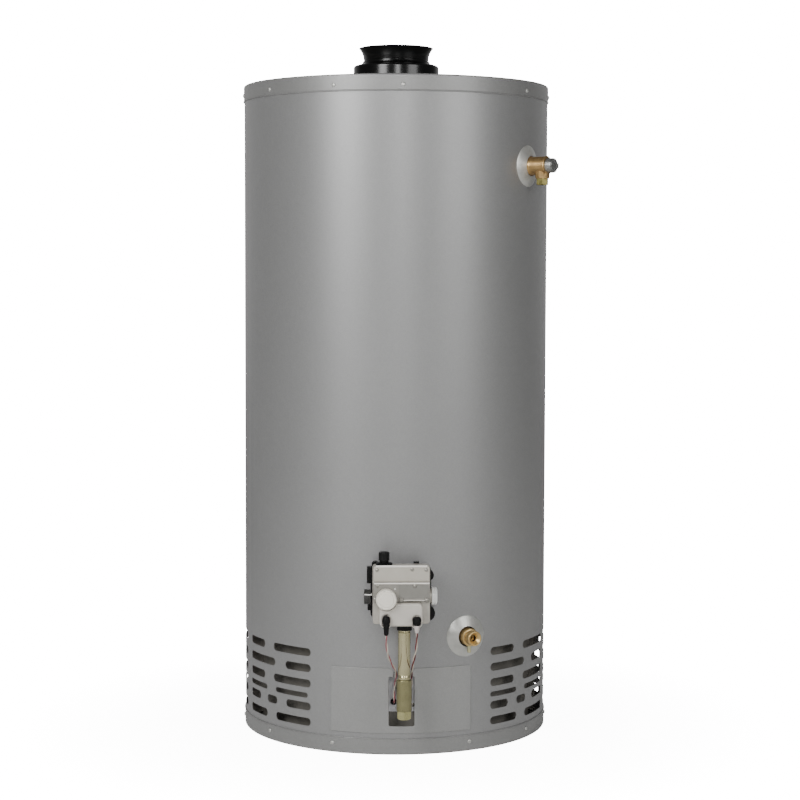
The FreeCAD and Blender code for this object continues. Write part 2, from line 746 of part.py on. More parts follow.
def vent_flare():
    """Flared mouth with a straight bore that takes a 4 inch vent pipe."""
    lip_in = LIP_R - 1.6
    foot_r = NECK_R - 4
    edges = [
        line(rz(VENT_BORE, VENT_BORE_LOW), rz(foot_r, VENT_BORE_LOW)),
        line(rz(foot_r, VENT_BORE_LOW), rz(foot_r, NECK_Z - 4)),
        line(rz(foot_r, NECK_Z - 4), rz(NECK_R, NECK_Z - 2)),
        line(rz(NECK_R, NECK_Z - 2), rz(NECK_R, NECK_Z)),
        arc(rz(NECK_R, NECK_Z), rz(61.7, 1241.4), rz(LIP_R, LIP_Z - 1)),
        arc(rz(LIP_R, LIP_Z - 1), rz(LIP_R - 0.5, LIP_Z), rz(lip_in, LIP_Z)),
        arc(rz(lip_in, LIP_Z), rz(55.6, 1243.6), rz(VENT_BORE, VENT_BORE_HIGH)),
        line(rz(VENT_BORE, VENT_BORE_HIGH), rz(VENT_BORE, VENT_BORE_LOW)),
    ]
    return turned_edges(edges)


# ---------------------------------------------------------------- combustion chamber
def combustion_skirt():
    """Wall of the combustion chamber: a port behind the doors, air notches at the foot, two draught fins outside."""
    wall = tube(TANK_R, TANK_R - SKIRT_T, PAN_T, TANK_BOTTOM)
    for azimuth, reach in FINS:
        fin = block(-FIN_T / 2, FIN_T / 2, FIN_LOW, FIN_HIGH, TANK_OFF + CLEAR, TANK_OFF + reach)
        root = block(-FIN_T / 2, FIN_T / 2, FIN_LOW, TANK_BOTTOM, TANK_OFF - SKIRT_T / 2, TANK_OFF + 1)
        wall = joined(wall, mounted(joined(root, fin), azimuth))
    port = curved_plate(TANK_R - 20, TANK_R + 5, SKIRT_PORT_HALF, SKIRT_PORT_LOW, SKIRT_PORT_HIGH)
    notch = block(-AIR_NOTCH_W / 2, AIR_NOTCH_W / 2, PAN_T + 2, PAN_T + 2 + AIR_NOTCH_H, -45, 5)
    step = 360 / AIR_NOTCHES
    notches = [mounted(notch, step * (i + 0.5)) for i in range(AIR_NOTCHES)]
    return wall.cut([port] + notches + inner_screw_holes())


def flame_arrestor():
    """Chamber floor with its perforated arrestor disc."""
    low, high = FLOOR_PLATE_Z, FLOOR_PLATE_Z + FLOOR_PLATE_T
    plate = tube(TANK_R - SKIRT_T - CLEAR, ARRESTOR_R - 6, low, high)
    disc = cylinder(ARRESTOR_R, high, high + 3)
    holes = []
    for ring in range(1, 6):
        for i in range(6 * ring):
            turn = math.radians(60 / ring * i)
            reach = 15.0 * ring
            holes.append(cylinder(ARRESTOR_HOLE, high - 1, high + 4, reach * math.cos(turn), reach * math.sin(turn)))
    return together([plate, disc.cut(holes)])


def main_burner():
    """Pressed burner bowl and its ported cap."""
    z, r, t = BURNER_Z, BURNER_R, 1.5
    bowl = turned([
        (20, z), (21, z + 6), (60, z + 9), (r, z + 11), (r, BURNER_CAP_Z),
        (r - t, BURNER_CAP_Z), (r - t, z + 11 + t), (60, z + 9 + t), (20, z + 6 + t), (20 - t, z),
    ])
    cap = turned([
        (0, BURNER_CAP_Z + 3), (r + 3, BURNER_CAP_Z), (r + 3, BURNER_CAP_Z + t),
        (40, BURNER_CAP_Z + 6), (0, BURNER_CAP_Z + 7),
    ])
    port = block(r - 14, r + 6, -1.5, 1.5, BURNER_CAP_Z - 1, BURNER_CAP_Z + 2.2)
    ports = []
    for i in range(BURNER_PORTS):
        cut = port.copy()
        cut.rotate(ORIGIN, UP, 360 / BURNER_PORTS * i)
        ports.append(cut)
    cap = cap.cut(ports)
    return together([bowl, cap])


def manifold_tube():
    """Pipe from the tee to the orifice under the burner."""
    start = V(PIPE_X, PIPE_Y + TEE_BRANCH_REACH - PIPE_ENTRY, MANIFOLD_Z)
    end = V(PIPE_X, 16, MANIFOLD_Z)
    pipe = bar(PIPE_R, start, end).cut(bar(PIPE_BORE, start, end - V(0, 6, 0)))
    seat = cylinder(9, MANIFOLD_Z, MANIFOLD_Z + 13, PIPE_X, 0)
    return joined(pipe, seat).cut(cylinder(4, MANIFOLD_Z, MANIFOLD_Z + 14, PIPE_X, 0))


def gas_orifice():
    """Brass orifice spud that feeds the burner."""
    low = MANIFOLD_Z + 13
    spud = joined(hexagon(12, low, low + 5, PIPE_X, 0), cylinder(4 - FIT_GAP, low - 8, low, PIPE_X, 0))
    spud = joined(spud, cylinder(3.5, low + 5, low + 9, PIPE_X, 0))
    return spud.cut(cylinder(1.1, low - 9, low + 10, PIPE_X, 0))


def pilot_assembly():
    """Pilot hood, flame sensor and spark electrode on one bracket."""
    bracket = block(-52, -8, -114, -104, 139, 141)
    hood = cylinder(5, 141, 156, -30, -109)
    hood = hood.cut(block(-36, -24, -104, -100, 150, 157))
    sensor = cylinder(4.2, 128, 168, -44, -109)
    electrode = cylinder(2.6, 128, 158, -16, -109)
    tip = cylinder(0.8, 158, 166, -16, -109)
    return joined(bracket, hood, sensor, electrode, tip)


def pilot_tube():
    """Quarter inch tube from the gas control to the pilot."""
    inside = -(TANK_R - 44)
    points = [
        V(PIPE_X, PILOT_Y, NUT_HIGH + 3), V(PIPE_X, PILOT_Y, PILOT_Z),
        V(PIPE_X, inside, PILOT_Z), V(-30, -180, PILOT_Z - 4), V(-30, -109, 124), V(-30, -109, 139),
    ]
    return bent_tube(points, PILOT_R, "pilot_tube")


def inner_drill(radius, x, z):
    """Cutter through the inner door at a place seen from the front."""
    return bar(radius, V(x, -TANK_R - 12, z), V(x, -TANK_R + 34, z))


def inner_face(x):
    """How far the inner door's outer face is from the axis, along Y, at x."""
    return math.sqrt(INNER_OUT ** 2 - x ** 2)


def inner_screw_holes():
    """Clearance bars for the inner door's screws, square to its face."""
    low, high = TANK_R - JACKET_R - 6, INNER_OUT - JACKET_R + 6
    drill = cylinder(SCREW_R + FIT_GAP, low, high)
    return [mounted(drill, inner_azimuth(x), z) for x, z in INNER_SCREWS]


def inner_azimuth(x):
    """Azimuth of the point of the inner door's face that is at x."""
    return math.degrees(math.asin(x / INNER_OUT))


def inner_door():
    """Chamber door with holes for the gas train, sight glass and leads."""
    plate = curved_plate(INNER_IN, INNER_OUT, INNER_DOOR_HALF, INNER_DOOR_LOW, INNER_DOOR_HIGH)
    holes = [
        inner_drill(PIPE_R + 0.6, PIPE_X, MANIFOLD_Z),
        inner_drill(PILOT_R + 0.5, PIPE_X, PILOT_Z),
        inner_drill(SIGHT_R - 2, SIGHT_X, SIGHT_Z),
        inner_drill(GROMMET_R - 1.5, *LEFT_GROMMET),
        inner_drill(GROMMET_R - 1.5, *RIGHT_GROMMET),
    ]
    return plate.cut(holes + inner_screw_holes())


def inner_door_screws():
    """Screws that hold the inner door to the chamber wall."""
    one = screw(SCREW_HEAD_R, SCREW_HEAD_H, SCREW_R, INNER_SCREW_LENGTH, INNER_OUT - JACKET_R + 0.03)
    return together(mounted(one, inner_azimuth(x), z) for x, z in INNER_SCREWS)


def sight_glass():
    """Round sight glass over the port in the inner door."""
    face = -inner_face(abs(SIGHT_X) + SIGHT_R)
    reach = inner_face(abs(SIGHT_X) - SIGHT_R)
    pane = bar(SIGHT_R, V(SIGHT_X, face, SIGHT_Z), V(SIGHT_X, -reach - 2.2, SIGHT_Z))
    return pane.cut(cylinder(INNER_OUT + CLEAR, INNER_DOOR_LOW, INNER_DOOR_HIGH))


def lead_grommets():
    """Rubber grommets where the two leads enter the chamber."""
    rings = []
    for x, z in (LEFT_GROMMET, RIGHT_GROMMET):
        face = -inner_face(x)
        flange = bar(GROMMET_R, V(x, face + 0.3, z), V(x, face - 2.6, z))
        flange = flange.cut(cylinder(INNER_OUT, INNER_DOOR_LOW, INNER_DOOR_HIGH))
        neck = bar(GROMMET_R - 1.6, V(x, face - 1, z), V(x, face + 4, z))
        rings.append(joined(flange, neck).cut(bar(GROMMET_BORE, V(x, face - 9, z), V(x, face + 9, z))))
    return together(rings)


# ---------------------------------------------------------------- gas train in front of the jacket
def feed_pipe():
    """Half inch pipe from the gas control down to the tee."""
    return tube(PIPE_R, PIPE_BORE, TEE_HIGH - PIPE_ENTRY, NUT_HIGH + 2, PIPE_X, PIPE_Y)


def feed_tee():
    """Tee whose branch turns the gas into the chamber."""
    body = cylinder(TEE_R, TEE_LOW, TEE_HIGH, PIPE_X, PIPE_Y)
    body = body.makeChamfer(1.2, face_edges(body, TEE_HIGH))
    axis = V(PIPE_X, PIPE_Y, MANIFOLD_Z)
    branch_end = axis + V(0, TEE_BRANCH_REACH, 0)
    body = joined(body, bar(TEE_BRANCH_R, axis, branch_end))
    socket = branch_end - V(0, PIPE_ENTRY, 0)
    return body.cut([
        cylinder(PIPE_R + FIT_GAP, TEE_HIGH - PIPE_ENTRY, TEE_HIGH + 1, PIPE_X, PIPE_Y),
        cylinder(PIPE_BORE, TEE_LOW - 1, TEE_HIGH, PIPE_X, PIPE_Y),
        cylinder(PIPE_R + FIT_GAP, TEE_LOW - 1, TEE_LOW + PLUG_SPIGOT + 1, PIPE_X, PIPE_Y),
        bar(TEE_BRANCH_BORE, axis, branch_end),
        bar(PIPE_R + FIT_GAP, socket, branch_end + V(0, 1, 0)),
    ])


def tee_plug():
    """Hexagonal plug in the foot of the tee."""
    head = hexagon(PLUG_FLATS, PLUG_LOW, TEE_LOW, PIPE_X, PIPE_Y)
    cone = Part.makeCone(PLUG_FLATS / 2 - 0.6, PLUG_FLATS / 2 + 3, 3.6, V(PIPE_X, PIPE_Y, PLUG_LOW))
    head = head.common(joined(cone, cylinder(PLUG_FLATS, PLUG_LOW + 3.6, TEE_LOW, PIPE_X, PIPE_Y)))
    return joined(head, cylinder(PIPE_R, TEE_LOW, TEE_LOW + PLUG_SPIGOT, PIPE_X, PIPE_Y))


def outlet_nut():
    """Black hexagonal nut where the pipe leaves the gas control."""
    nut = hexagon(NUT_FLATS, NUT_LOW, NUT_HIGH, PIPE_X, PIPE_Y)
    return nut.cut(cylinder(PIPE_R + FIT_GAP, NUT_LOW - 1, NUT_HIGH + 1, PIPE_X, PIPE_Y))


# ---------------------------------------------------------------- gas control
def valve_rear_housing():
    """Black rear moulding of the gas control."""
    x0, x1 = VALVE_LEFT - 2.5, VALVE_RIGHT + 3.5
    core = block(x0, x1, VALVE_LOW + 7, VALVE_HIGH - 7, VALVE_BACK, VALVE_MID)
    core = core.makeFillet(5, upright_edges(core))
    lugs = [
        block(VALVE_LEFT - 9, x0 + 8, LEDGE_Z - 6, LEDGE_Z + 22, 20, VALVE_MID),
        block(VALVE_LEFT - 7.8, x0 + 8, 262, 272, 20, VALVE_MID),
        cylinder(9.5, 20, VALVE_MID, VALVE_RIGHT - 1.4, 322),
        cylinder(13.5, 20, VALVE_MID, VALVE_RIGHT - 3, 256),
        cylinder(6.5, 20, VALVE_MID - 0.5, VALVE_LEFT + 5.5, VALVE_HIGH - 3.4),
        block(18.5, 28, VALVE_HIGH - 10, VALVE_HIGH + 2.6, 26, VALVE_MID),
    ]
    inlet = bar(INLET_BOSS_R + 0.5, V(VALVE_RIGHT - 4, INLET_Z, INLET_OFF), V(x1 + 10, INLET_Z, INLET_OFF))
    return mounted(joined(core, *lugs).cut([
        inlet,
        cylinder(SHANK_R + FIT_GAP, VALVE_BACK - 1, VALVE_MID - 4, 0, SHANK_Z),
    ]))


def valve_casting():
    """Die-cast body of the gas control, with the inlet boss and the knob's collar."""
    body = block(VALVE_LEFT, VALVE_RIGHT, VALVE_LOW, VALVE_HIGH, VALVE_MID, VALVE_FACE)
    body = softened(body, 6, 1.2, VALVE_FACE)
    body = mounted(body)
    outlet = cylinder(14.5, NUT_HIGH, VALVE_LOW + 4, PIPE_X, PIPE_Y)
    inlet_y = -(JACKET_R + INLET_OFF)
    reach = INLET_CAP_OUT - 2.5
    boss = bar(INLET_BOSS_R, V(VALVE_RIGHT - 3, inlet_y, INLET_Z), V(reach, inlet_y, INLET_Z))
    port = bar(9.3, V(VALVE_RIGHT - 14, inlet_y, INLET_Z), V(reach + 1, inlet_y, INLET_Z))
    collar = cylinder(COLLAR_R, VALVE_HIGH, VALVE_HIGH + COLLAR_T, KNOB_X, PIPE_Y)
    hub = cylinder(7.6, VALVE_HIGH, KNOB_LOW + 0.6, KNOB_X, PIPE_Y)
    body = joined(body, outlet, boss, collar, hub)
    return body.cut([
        port,
        cylinder(PIPE_R + FIT_GAP, NUT_HIGH - 1, VALVE_LOW + 12, PIPE_X, PIPE_Y),
        cylinder(SPINDLE_R + RUN_GAP, VALVE_HIGH - 26, KNOB_LOW + 5, KNOB_X, PIPE_Y),
    ])


def valve_upper_cover():
    """Upper front cover of the gas control."""
    x0, x1 = VALVE_LEFT + 0.8, VALVE_RIGHT - 0.8
    plate = block(x0, x1, LEDGE_Z + 0.4, VALVE_HIGH - 0.6, VALVE_FACE, UPPER_FACE)
    plate = softened(plate, 4, 1.6, UPPER_FACE)
    holes = [cylinder(1.5, VALVE_FACE - 1, UPPER_FACE + 1, x, y) for x, y in UPPER_SCREWS]
    return mounted(plate.cut(holes))


def valve_label_cover():
    """Middle cover that carries the dial and a blank label panel."""
    x0, x1 = VALVE_LEFT + 0.8, VALVE_RIGHT - 0.8
    right = block(DIAL_X, x1, RIDGE_Z, LEDGE_Z, VALVE_FACE, LABEL_FACE)
    left = block(x0, DIAL_X + 19, LOWER_TOP + 0.5, LEDGE_Z, VALVE_FACE, LABEL_FACE)
    cover = joined(left, right)
    cover = softened(cover, 1.7, 1.2, LABEL_FACE)
    cover = joined(cover, *(cylinder(LUG_R, VALVE_FACE, LABEL_FACE, x, y) for x, y in LUG_SCREWS))
    recess = block(DIAL_X + 24, x1 - 3, RIDGE_Z + 8.5, LEDGE_Z - 8.5, LABEL_FACE - 0.6, LABEL_FACE + 1)
    shaft = cylinder(DIAL_SHAFT_R + RUN_GAP, VALVE_FACE - 1, LABEL_FACE + 1, DIAL_X, DIAL_Z)
    holes = [cylinder(1.5, VALVE_FACE - 1, LABEL_FACE + 1, x, y) for x, y in LABEL_SCREWS + LUG_SCREWS]
    return mounted(cover.cut([recess, shaft] + holes))


def valve_lower_cover():
    """Lower cover with the two lead sockets."""
    cover = block(LOWER_LEFT, LOWER_RIGHT, LOWER_LOW, LOWER_TOP, VALVE_FACE, LOWER_FACE)
    cover = softened(cover, 8, 3, LOWER_FACE)
    sockets = [
        cylinder(5 + FIT_GAP, LOWER_FACE - 8, LOWER_FACE + 1, LEFT_PLUG_X, LEFT_PLUG_Z + 1),
        cylinder(5 + FIT_GAP, LOWER_FACE - 8, LOWER_FACE + 1, RIGHT_PLUG_X, RIGHT_PLUG_Z),
    ]
    dial_clear = cylinder(DIAL_R + 3, LABEL_FACE - 0.5, LOWER_FACE + 1, DIAL_X, DIAL_Z)
    return mounted(cover.cut(sockets + [dial_clear]))


def valve_cover_screws():
    """Screws in the covers of the gas control."""
    upper = [(x, y, UPPER_FACE) for x, y in UPPER_SCREWS]
    label = [(x, y, LABEL_FACE) for x, y in LABEL_SCREWS + LUG_SCREWS]
    screws = []
    for x, y, seat in upper + label:
        one = screw(COVER_SCREW_R, 1.8, 1.4, seat - VALVE_FACE, seat)
        one.translate(V(x, y, 0))
        screws.append(mounted(one))
    return together(screws)


def temperature_dial():
    """Round temperature dial on its shaft."""
    low = LABEL_FACE + LIFT_GAP
    high = low + DIAL_T
    rim = cylinder(DIAL_R, low, high, DIAL_X, DIAL_Z)
    rim = rim.makeFillet(1.6, face_edges(rim, high))
    face = cylinder(DIAL_FACE_R, high - 1, high + 1.2, DIAL_X, DIAL_Z)
    face = face.makeFillet(0.6, face_edges(face, high + 1.2))
    shaft = cylinder(DIAL_SHAFT_R, VALVE_FACE + LIFT_GAP, low, DIAL_X, DIAL_Z)
    return mounted(joined(rim, face, shaft))


def gas_knob():
    """Black gas knob with grip flutes, hollow underneath."""
    knob = cylinder(KNOB_R, KNOB_LOW, KNOB_HIGH, KNOB_X, PIPE_Y)
    knob = knob.makeFillet(1.8, face_edges(knob, KNOB_HIGH))
    cavity = cylinder(8.2, KNOB_LOW - 1, KNOB_LOW + 5, KNOB_X, PIPE_Y)
    bore = cylinder(SPINDLE_R + RUN_GAP, KNOB_LOW, KNOB_HIGH - 3, KNOB_X, PIPE_Y)
    flutes = []
    for i in range(18):
        turn = math.radians(20 * i)
        x = KNOB_X + (KNOB_R + 0.5) * math.cos(turn)
        y = PIPE_Y + (KNOB_R + 0.5) * math.sin(turn)
        flutes.append(cylinder(0.9, KNOB_LOW + 2.5, KNOB_HIGH - 2, x, y))
    return knob.cut([cavity, bore] + flutes)


def gas_knob_stem():
    """Spindle that the gas knob turns on and pushes down."""
    low = VALVE_HIGH - 26 + KNOB_TRAVEL + 1
    return cylinder(SPINDLE_R, low, KNOB_HIGH - 3 - LIFT_GAP, KNOB_X, PIPE_Y)


def inlet_cap():
    """White protector over the gas inlet."""
    inlet_y = -(JACKET_R + INLET_OFF)
    start = V(VALVE_RIGHT + 3.8, inlet_y, INLET_Z)
    end = V(INLET_CAP_OUT, inlet_y, INLET_Z)
    cup = bar(INLET_CAP_R, start, end)
    cup = cup.makeFillet(1.2, [e for e in cup.Edges if abs(e.CenterOfMass.x - INLET_CAP_OUT) < 1e-3])
    return cup.cut(bar(INLET_BOSS_R + FIT_GAP, start - V(1, 0, 0), V(INLET_CAP_OUT - 2.4, inlet_y, INLET_Z)))


def port_fitting():
    """Capped side port on the left of the gas control."""
    y = -(JACKET_R + INLET_OFF)
    cap = bar(PORT_R, V(VALVE_LEFT - 2.6, y, PORT_Z), V(PORT_OUT, y, PORT_Z))
    cap = cap.makeFillet(1.0, [e for e in cap.Edges if abs(e.CenterOfMass.x - PORT_OUT) < 1e-3])
    neck = bar(5.8, V(VALVE_LEFT, y, PORT_Z), V(VALVE_LEFT - 3, y, PORT_Z))
    return joined(cap, neck)


def thermowell():
    """Threaded shank that carries the gas control on the tank, and its sensing tube in the water."""
    shank = cylinder(SHANK_R, TANK_OFF - 4, VALVE_MID - 4, 0, SHANK_Z)
    well = cylinder(PROBE_R, TANK_OFF - PROBE_LENGTH, TANK_OFF - 4, 0, SHANK_Z)
    well = well.makeFillet(3, face_edges(well, TANK_OFF - PROBE_LENGTH))
    return mounted(joined(shank, well))


def boot(widths, x, off):
    """Round boot turned about a vertical line, from (height, radius) pairs listed top down."""
    outline = [(0, widths[0][0])] + [(r, z) for z, r in widths] + [(0, widths[-1][0])]
    shape = turned(outline)
    shape.translate(V(x, -(JACKET_R + off), 0))
    return shape


def lead_plugs():
    """Two boots plugged into the lower cover, each over the end of a lead."""
    x, z = LEFT_PLUG_X, LEFT_PLUG_Z
    left = boot([(z + 7, 3.5), (z + 4.5, 6.2), (z - 2, 6.6), (z - 8, 5.4), (z - 16, 4.4), (z - 26.5, 3.4)], x, PLUG_OFF)
    left = joined(left, mounted(cylinder(5, LOWER_FACE - 7, PLUG_OFF, x, z + 1)))
    x, z = RIGHT_PLUG_X, RIGHT_PLUG_Z
    right = boot([(z + 7, 5.0), (z + 5, 7.0), (z - 5, 7.2), (z - 8, 4.8), (z - 15, 3.8), (z - 21, 2.7)], x, PLUG_OFF)
    right = joined(right, mounted(cylinder(5, LOWER_FACE - 7, PLUG_OFF, x, z)))
    return together([left, right])


def left_lead():
    """Sensor lead from the left boot, past the pipe and through the left grommet."""
    y = -(JACKET_R + PLUG_OFF)
    gx, gz = LEFT_GROMMET
    points = [
        V(LEFT_PLUG_X, y, LEFT_PLUG_Z - 26.5), V(LEFT_PLUG_X, y, 204), V(-22.5, y + 20, 178),
        V(-11.5, y + 44, 158), V(-10.6, y + 66, 143), V(gx, y + 90, 118), V(gx, -277, gz),
        V(gx, -244, gz), V(gx - 4, -228, gz + 4), V(-44, -200, 104), V(-44, -109, 108), V(-44, -109, 128),
    ]
    return bent_tube(points, LEAD_R, "left_lead")


def right_lead():
    """Electrode lead from the right boot, past the pipe and through the right grommet."""
    y = -(JACKET_R + PLUG_OFF)
    gx, gz = RIGHT_GROMMET
    points = [
        V(RIGHT_PLUG_X, y, RIGHT_PLUG_Z - 21), V(RIGHT_PLUG_X, y, 206), V(17.2, y + 20, 182),
        V(15.5, y + 44, 158), V(15.6, y + 66, 143), V(17, y + 84, 122), V(gx, -278, gz),
        V(gx, -240, gz), V(gx, -190, gz + 2), V(-16, -150, 96), V(-16, -109, 106),
        V(-16, -109, 128),
    ]
    return bent_tube(points, LEAD_R, "right_lead")


# ---------------------------------------------------------------- relief valve
def escutcheons():
    """Conical trim plates under the relief valve and the drain valve, scribed to the jacket."""
    run = (ESCUTCHEON_R - ESCUTCHEON_HOLE) / ESCUTCHEON_RISE
    depth = 4.0
    t = ESCUTCHEON_T
    plate = turned([
        (ESCUTCHEON_R + run * depth, -depth), (ESCUTCHEON_HOLE, ESCUTCHEON_RISE),
        (ESCUTCHEON_HOLE, ESCUTCHEON_RISE - t), (ESCUTCHEON_R + run * depth - run * t, -depth),
    ])
    trim = cylinder(JACKET_R + SEAM_GAP, 0, HEIGHT)
    places = ((RELIEF_AZIMUTH, RELIEF_Z), (DRAIN_AZIMUTH, DRAIN_Z))
    return together(mounted(plate, a, z).cut(trim) for a, z in places)


def relief_valve_body():
    """Brass body with its threaded inlet, side outlet and sensing probe."""
    shank = cylinder(NIPPLE_R, TANK_OFF + 1, 0)
    collar = cylinder(RELIEF_R + 1.2, 0, 9)
    barrel = cylinder(RELIEF_R, 9, RELIEF_END)
    rim = cylinder(RELIEF_R + 1, RELIEF_END - 3, RELIEF_END)
    outlet = bar(OUTLET_R, V(0, 0, OUTLET_OFF), V(0, -OUTLET_DROP, OUTLET_OFF))
    body = joined(shank, collar, barrel, rim, outlet)
    body = body.cut([
        cylinder(6.5, TANK_OFF, RELIEF_SEAT),
        cylinder(RELIEF_CHAMBER_R, RELIEF_SEAT, RELIEF_END + 1),
        bar(OUTLET_BORE, V(0, 0, OUTLET_OFF), V(0, -OUTLET_DROP - 1, OUTLET_OFF)),
    ])
    seat = cylinder(RELIEF_CHAMBER_R, RELIEF_SEAT - 3, RELIEF_SEAT).cut(cylinder(5, 0, RELIEF_END))
    body = joined(body, seat).cut(cylinder(CAP_R + 0.3, RELIEF_END, RELIEF_END + 5))
    probe = cylinder(3.4, TANK_OFF - 90, RELIEF_SEAT - 4)
    probe = probe.makeFillet(1.6, face_edges(probe, TANK_OFF - 90))
    return together([mounted(body, RELIEF_AZIMUTH, RELIEF_Z), mounted(probe, RELIEF_AZIMUTH, RELIEF_Z)])


def relief_outlet_bushing():
    """Hexagonal threaded bushing in the outlet."""
    low, high = OUTLET_DROP, OUTLET_DROP + BUSHING_DROP
    piece = joined(hexagon(BUSHING_FLATS, low, high), cylinder(OUTLET_BORE - FIT_GAP, low - 8, low))
    piece = piece.cut(cylinder(BUSHING_BORE, low - 9, high + 1))
    piece.rotate(ORIGIN, V(1, 0, 0), 90)
    piece.translate(V(0, 0, OUTLET_OFF))
    return mounted(piece, RELIEF_AZIMUTH, RELIEF_Z)


def relief_end_cap():
    """Steel spring cap with two ears for the lever's pin."""
    skirt = cylinder(RELIEF_CHAMBER_R - FIT_GAP, RELIEF_END - 5, RELIEF_END)
    cup = cylinder(CAP_R, RELIEF_END, CAP_FACE)
    cup = cup.makeFillet(0.8, face_edges(cup, CAP_FACE))
    px, pz = LEVER_PIVOT
    ears = []
    for side in (-1, 1):
        y0 = side * 6.4
        ear = block(9.0, px, y0 - 1, y0 + 1, pz - 2.4, pz + 2.4)
        tip = bar(2.4, V(px, y0 - 1, pz), V(px, y0 + 1, pz))
        ears += [ear, tip]
    cap = joined(skirt, cup, *ears)
    hollow = [
        cylinder(9, RELIEF_END - 6, CAP_FACE - 2.2),
        cylinder(STEM_R + RUN_GAP, RELIEF_END, CAP_FACE + 1),
        bar(LEVER_PIN_R + RUN_GAP, V(px, -9, pz), V(px, 9, pz)),
    ]
    return mounted(cap.cut(hollow), RELIEF_AZIMUTH, RELIEF_Z)


def relief_lever():
    """Test lever: a round plate over the cap's face, on a pin at its far side."""
    px, pz = LEVER_PIVOT
    low, high = CAP_FACE + 0.3, CAP_FACE + 0.3 + LEVER_T
    plate = cylinder(LEVER_R, low, high)
    strap = block(6, px + 0.7, -4.6, 4.6, low, high)
    arm = block(px - 0.7, px + 0.7, -4.6, 4.6, pz, high)
    eye = bar(2.1, V(px, -5.0, pz), V(px, 5.0, pz))
    pin = bar(LEVER_PIN_R, V(px, -8.0, pz), V(px, 8.0, pz))
    return mounted(joined(plate, strap, arm, eye, pin), RELIEF_AZIMUTH, RELIEF_Z)


def relief_stem():
    """Valve disc on its stem, lifted off the seat by the lever or by pressure."""
    disc = cylinder(DISC_R, RELIEF_SEAT + 0.1, RELIEF_SEAT + 3)
    rod = cylinder(STEM_R, RELIEF_SEAT + 3, CAP_FACE)
    return mounted(joined(disc, rod), RELIEF_AZIMUTH, RELIEF_Z)


def relief_spring():
    """Coil spring that holds the disc on its seat."""
    low = RELIEF_SEAT + 3 + SPRING_WIRE
    high = CAP_FACE - 2.2 - SPRING_WIRE
    helix = Part.makeHelix((high - low) / SPRING_TURNS, high - low, SPRING_R)
    helix.translate(V(0, 0, low))
    ring = Part.Wire(Part.makeCircle(SPRING_WIRE, V(SPRING_R, 0, low), V(0, 1, 0)))
    coil = Part.Wire(helix).makePipeShell([ring], True, True)
    return mounted(coil, RELIEF_AZIMUTH, RELIEF_Z)


# ---------------------------------------------------------------- drain valve
def drain_valve_body():
    """Brass drain valve with a hose outlet and a downward stem boss."""
    shank = cylinder(NIPPLE_R, TANK_OFF + 1, 0)
    collar = cylinder(DRAIN_COLLAR_R, 0, DRAIN_COLLAR_END)
    collar = collar.makeFillet(1.2, face_edges(collar, DRAIN_COLLAR_END))
    neck = cylinder(DRAIN_OUTLET_R - 1.4, DRAIN_COLLAR_END - 2, DRAIN_COLLAR_END + 3)
    outlet = cylinder(DRAIN_OUTLET_R, DRAIN_COLLAR_END + 3, DRAIN_END)
    outlet = outlet.makeChamfer(1.1, face_edges(outlet, DRAIN_END))
    boss = bar(DRAIN_BOSS_R, V(0, -8, DRAIN_STEM_OFF), V(0, -DRAIN_BOSS_END, DRAIN_STEM_OFF))
    body = joined(shank, collar, neck, outlet, boss)
    mouth = turned([
        (0, DRAIN_END + 0.5), (DRAIN_MOUTH_R + 0.4, DRAIN_END + 0.5), (DRAIN_BORE, DRAIN_END - 6.5),
        (0, DRAIN_END - 6.5),
    ])
    return mounted(body.cut([
        mouth,
        cylinder(DRAIN_BORE, DRAIN_COLLAR_END, DRAIN_END),
        cylinder(DRAIN_SEAT_BORE, 0, DRAIN_COLLAR_END + 1),
        cylinder(DRAIN_BORE, TANK_OFF, 4),
        bar(DRAIN_STEM_R + RUN_GAP, V(0, DRAIN_WASHER_TOP + 0.4, DRAIN_STEM_OFF), V(0, -20, DRAIN_STEM_OFF)),
    ]), DRAIN_AZIMUTH, DRAIN_Z)


def drain_stem():
    """Slotted brass stem that screws down to open the drain."""
    top = DRAIN_WASHER_TOP - DRAIN_WASHER_T - 0.3
    stem = bar(DRAIN_STEM_R, V(0, top, DRAIN_STEM_OFF), V(0, DRAIN_STEM_LOW, DRAIN_STEM_OFF))
    slot = block(
        -DRAIN_STEM_R - 1, DRAIN_STEM_R + 1, DRAIN_STEM_LOW - 1, DRAIN_STEM_LOW + 2.4,
        DRAIN_STEM_OFF - 0.7, DRAIN_STEM_OFF + 0.7,
    )
    return mounted(stem.cut(slot), DRAIN_AZIMUTH, DRAIN_Z)


def drain_washer():
    """Rubber washer on the stem's tip that closes the bore."""
    low = DRAIN_WASHER_TOP - DRAIN_WASHER_T
    disc = bar(DRAIN_STEM_R - 0.1, V(0, low, DRAIN_STEM_OFF), V(0, DRAIN_WASHER_TOP, DRAIN_STEM_OFF))
    return mounted(disc, DRAIN_AZIMUTH, DRAIN_Z)


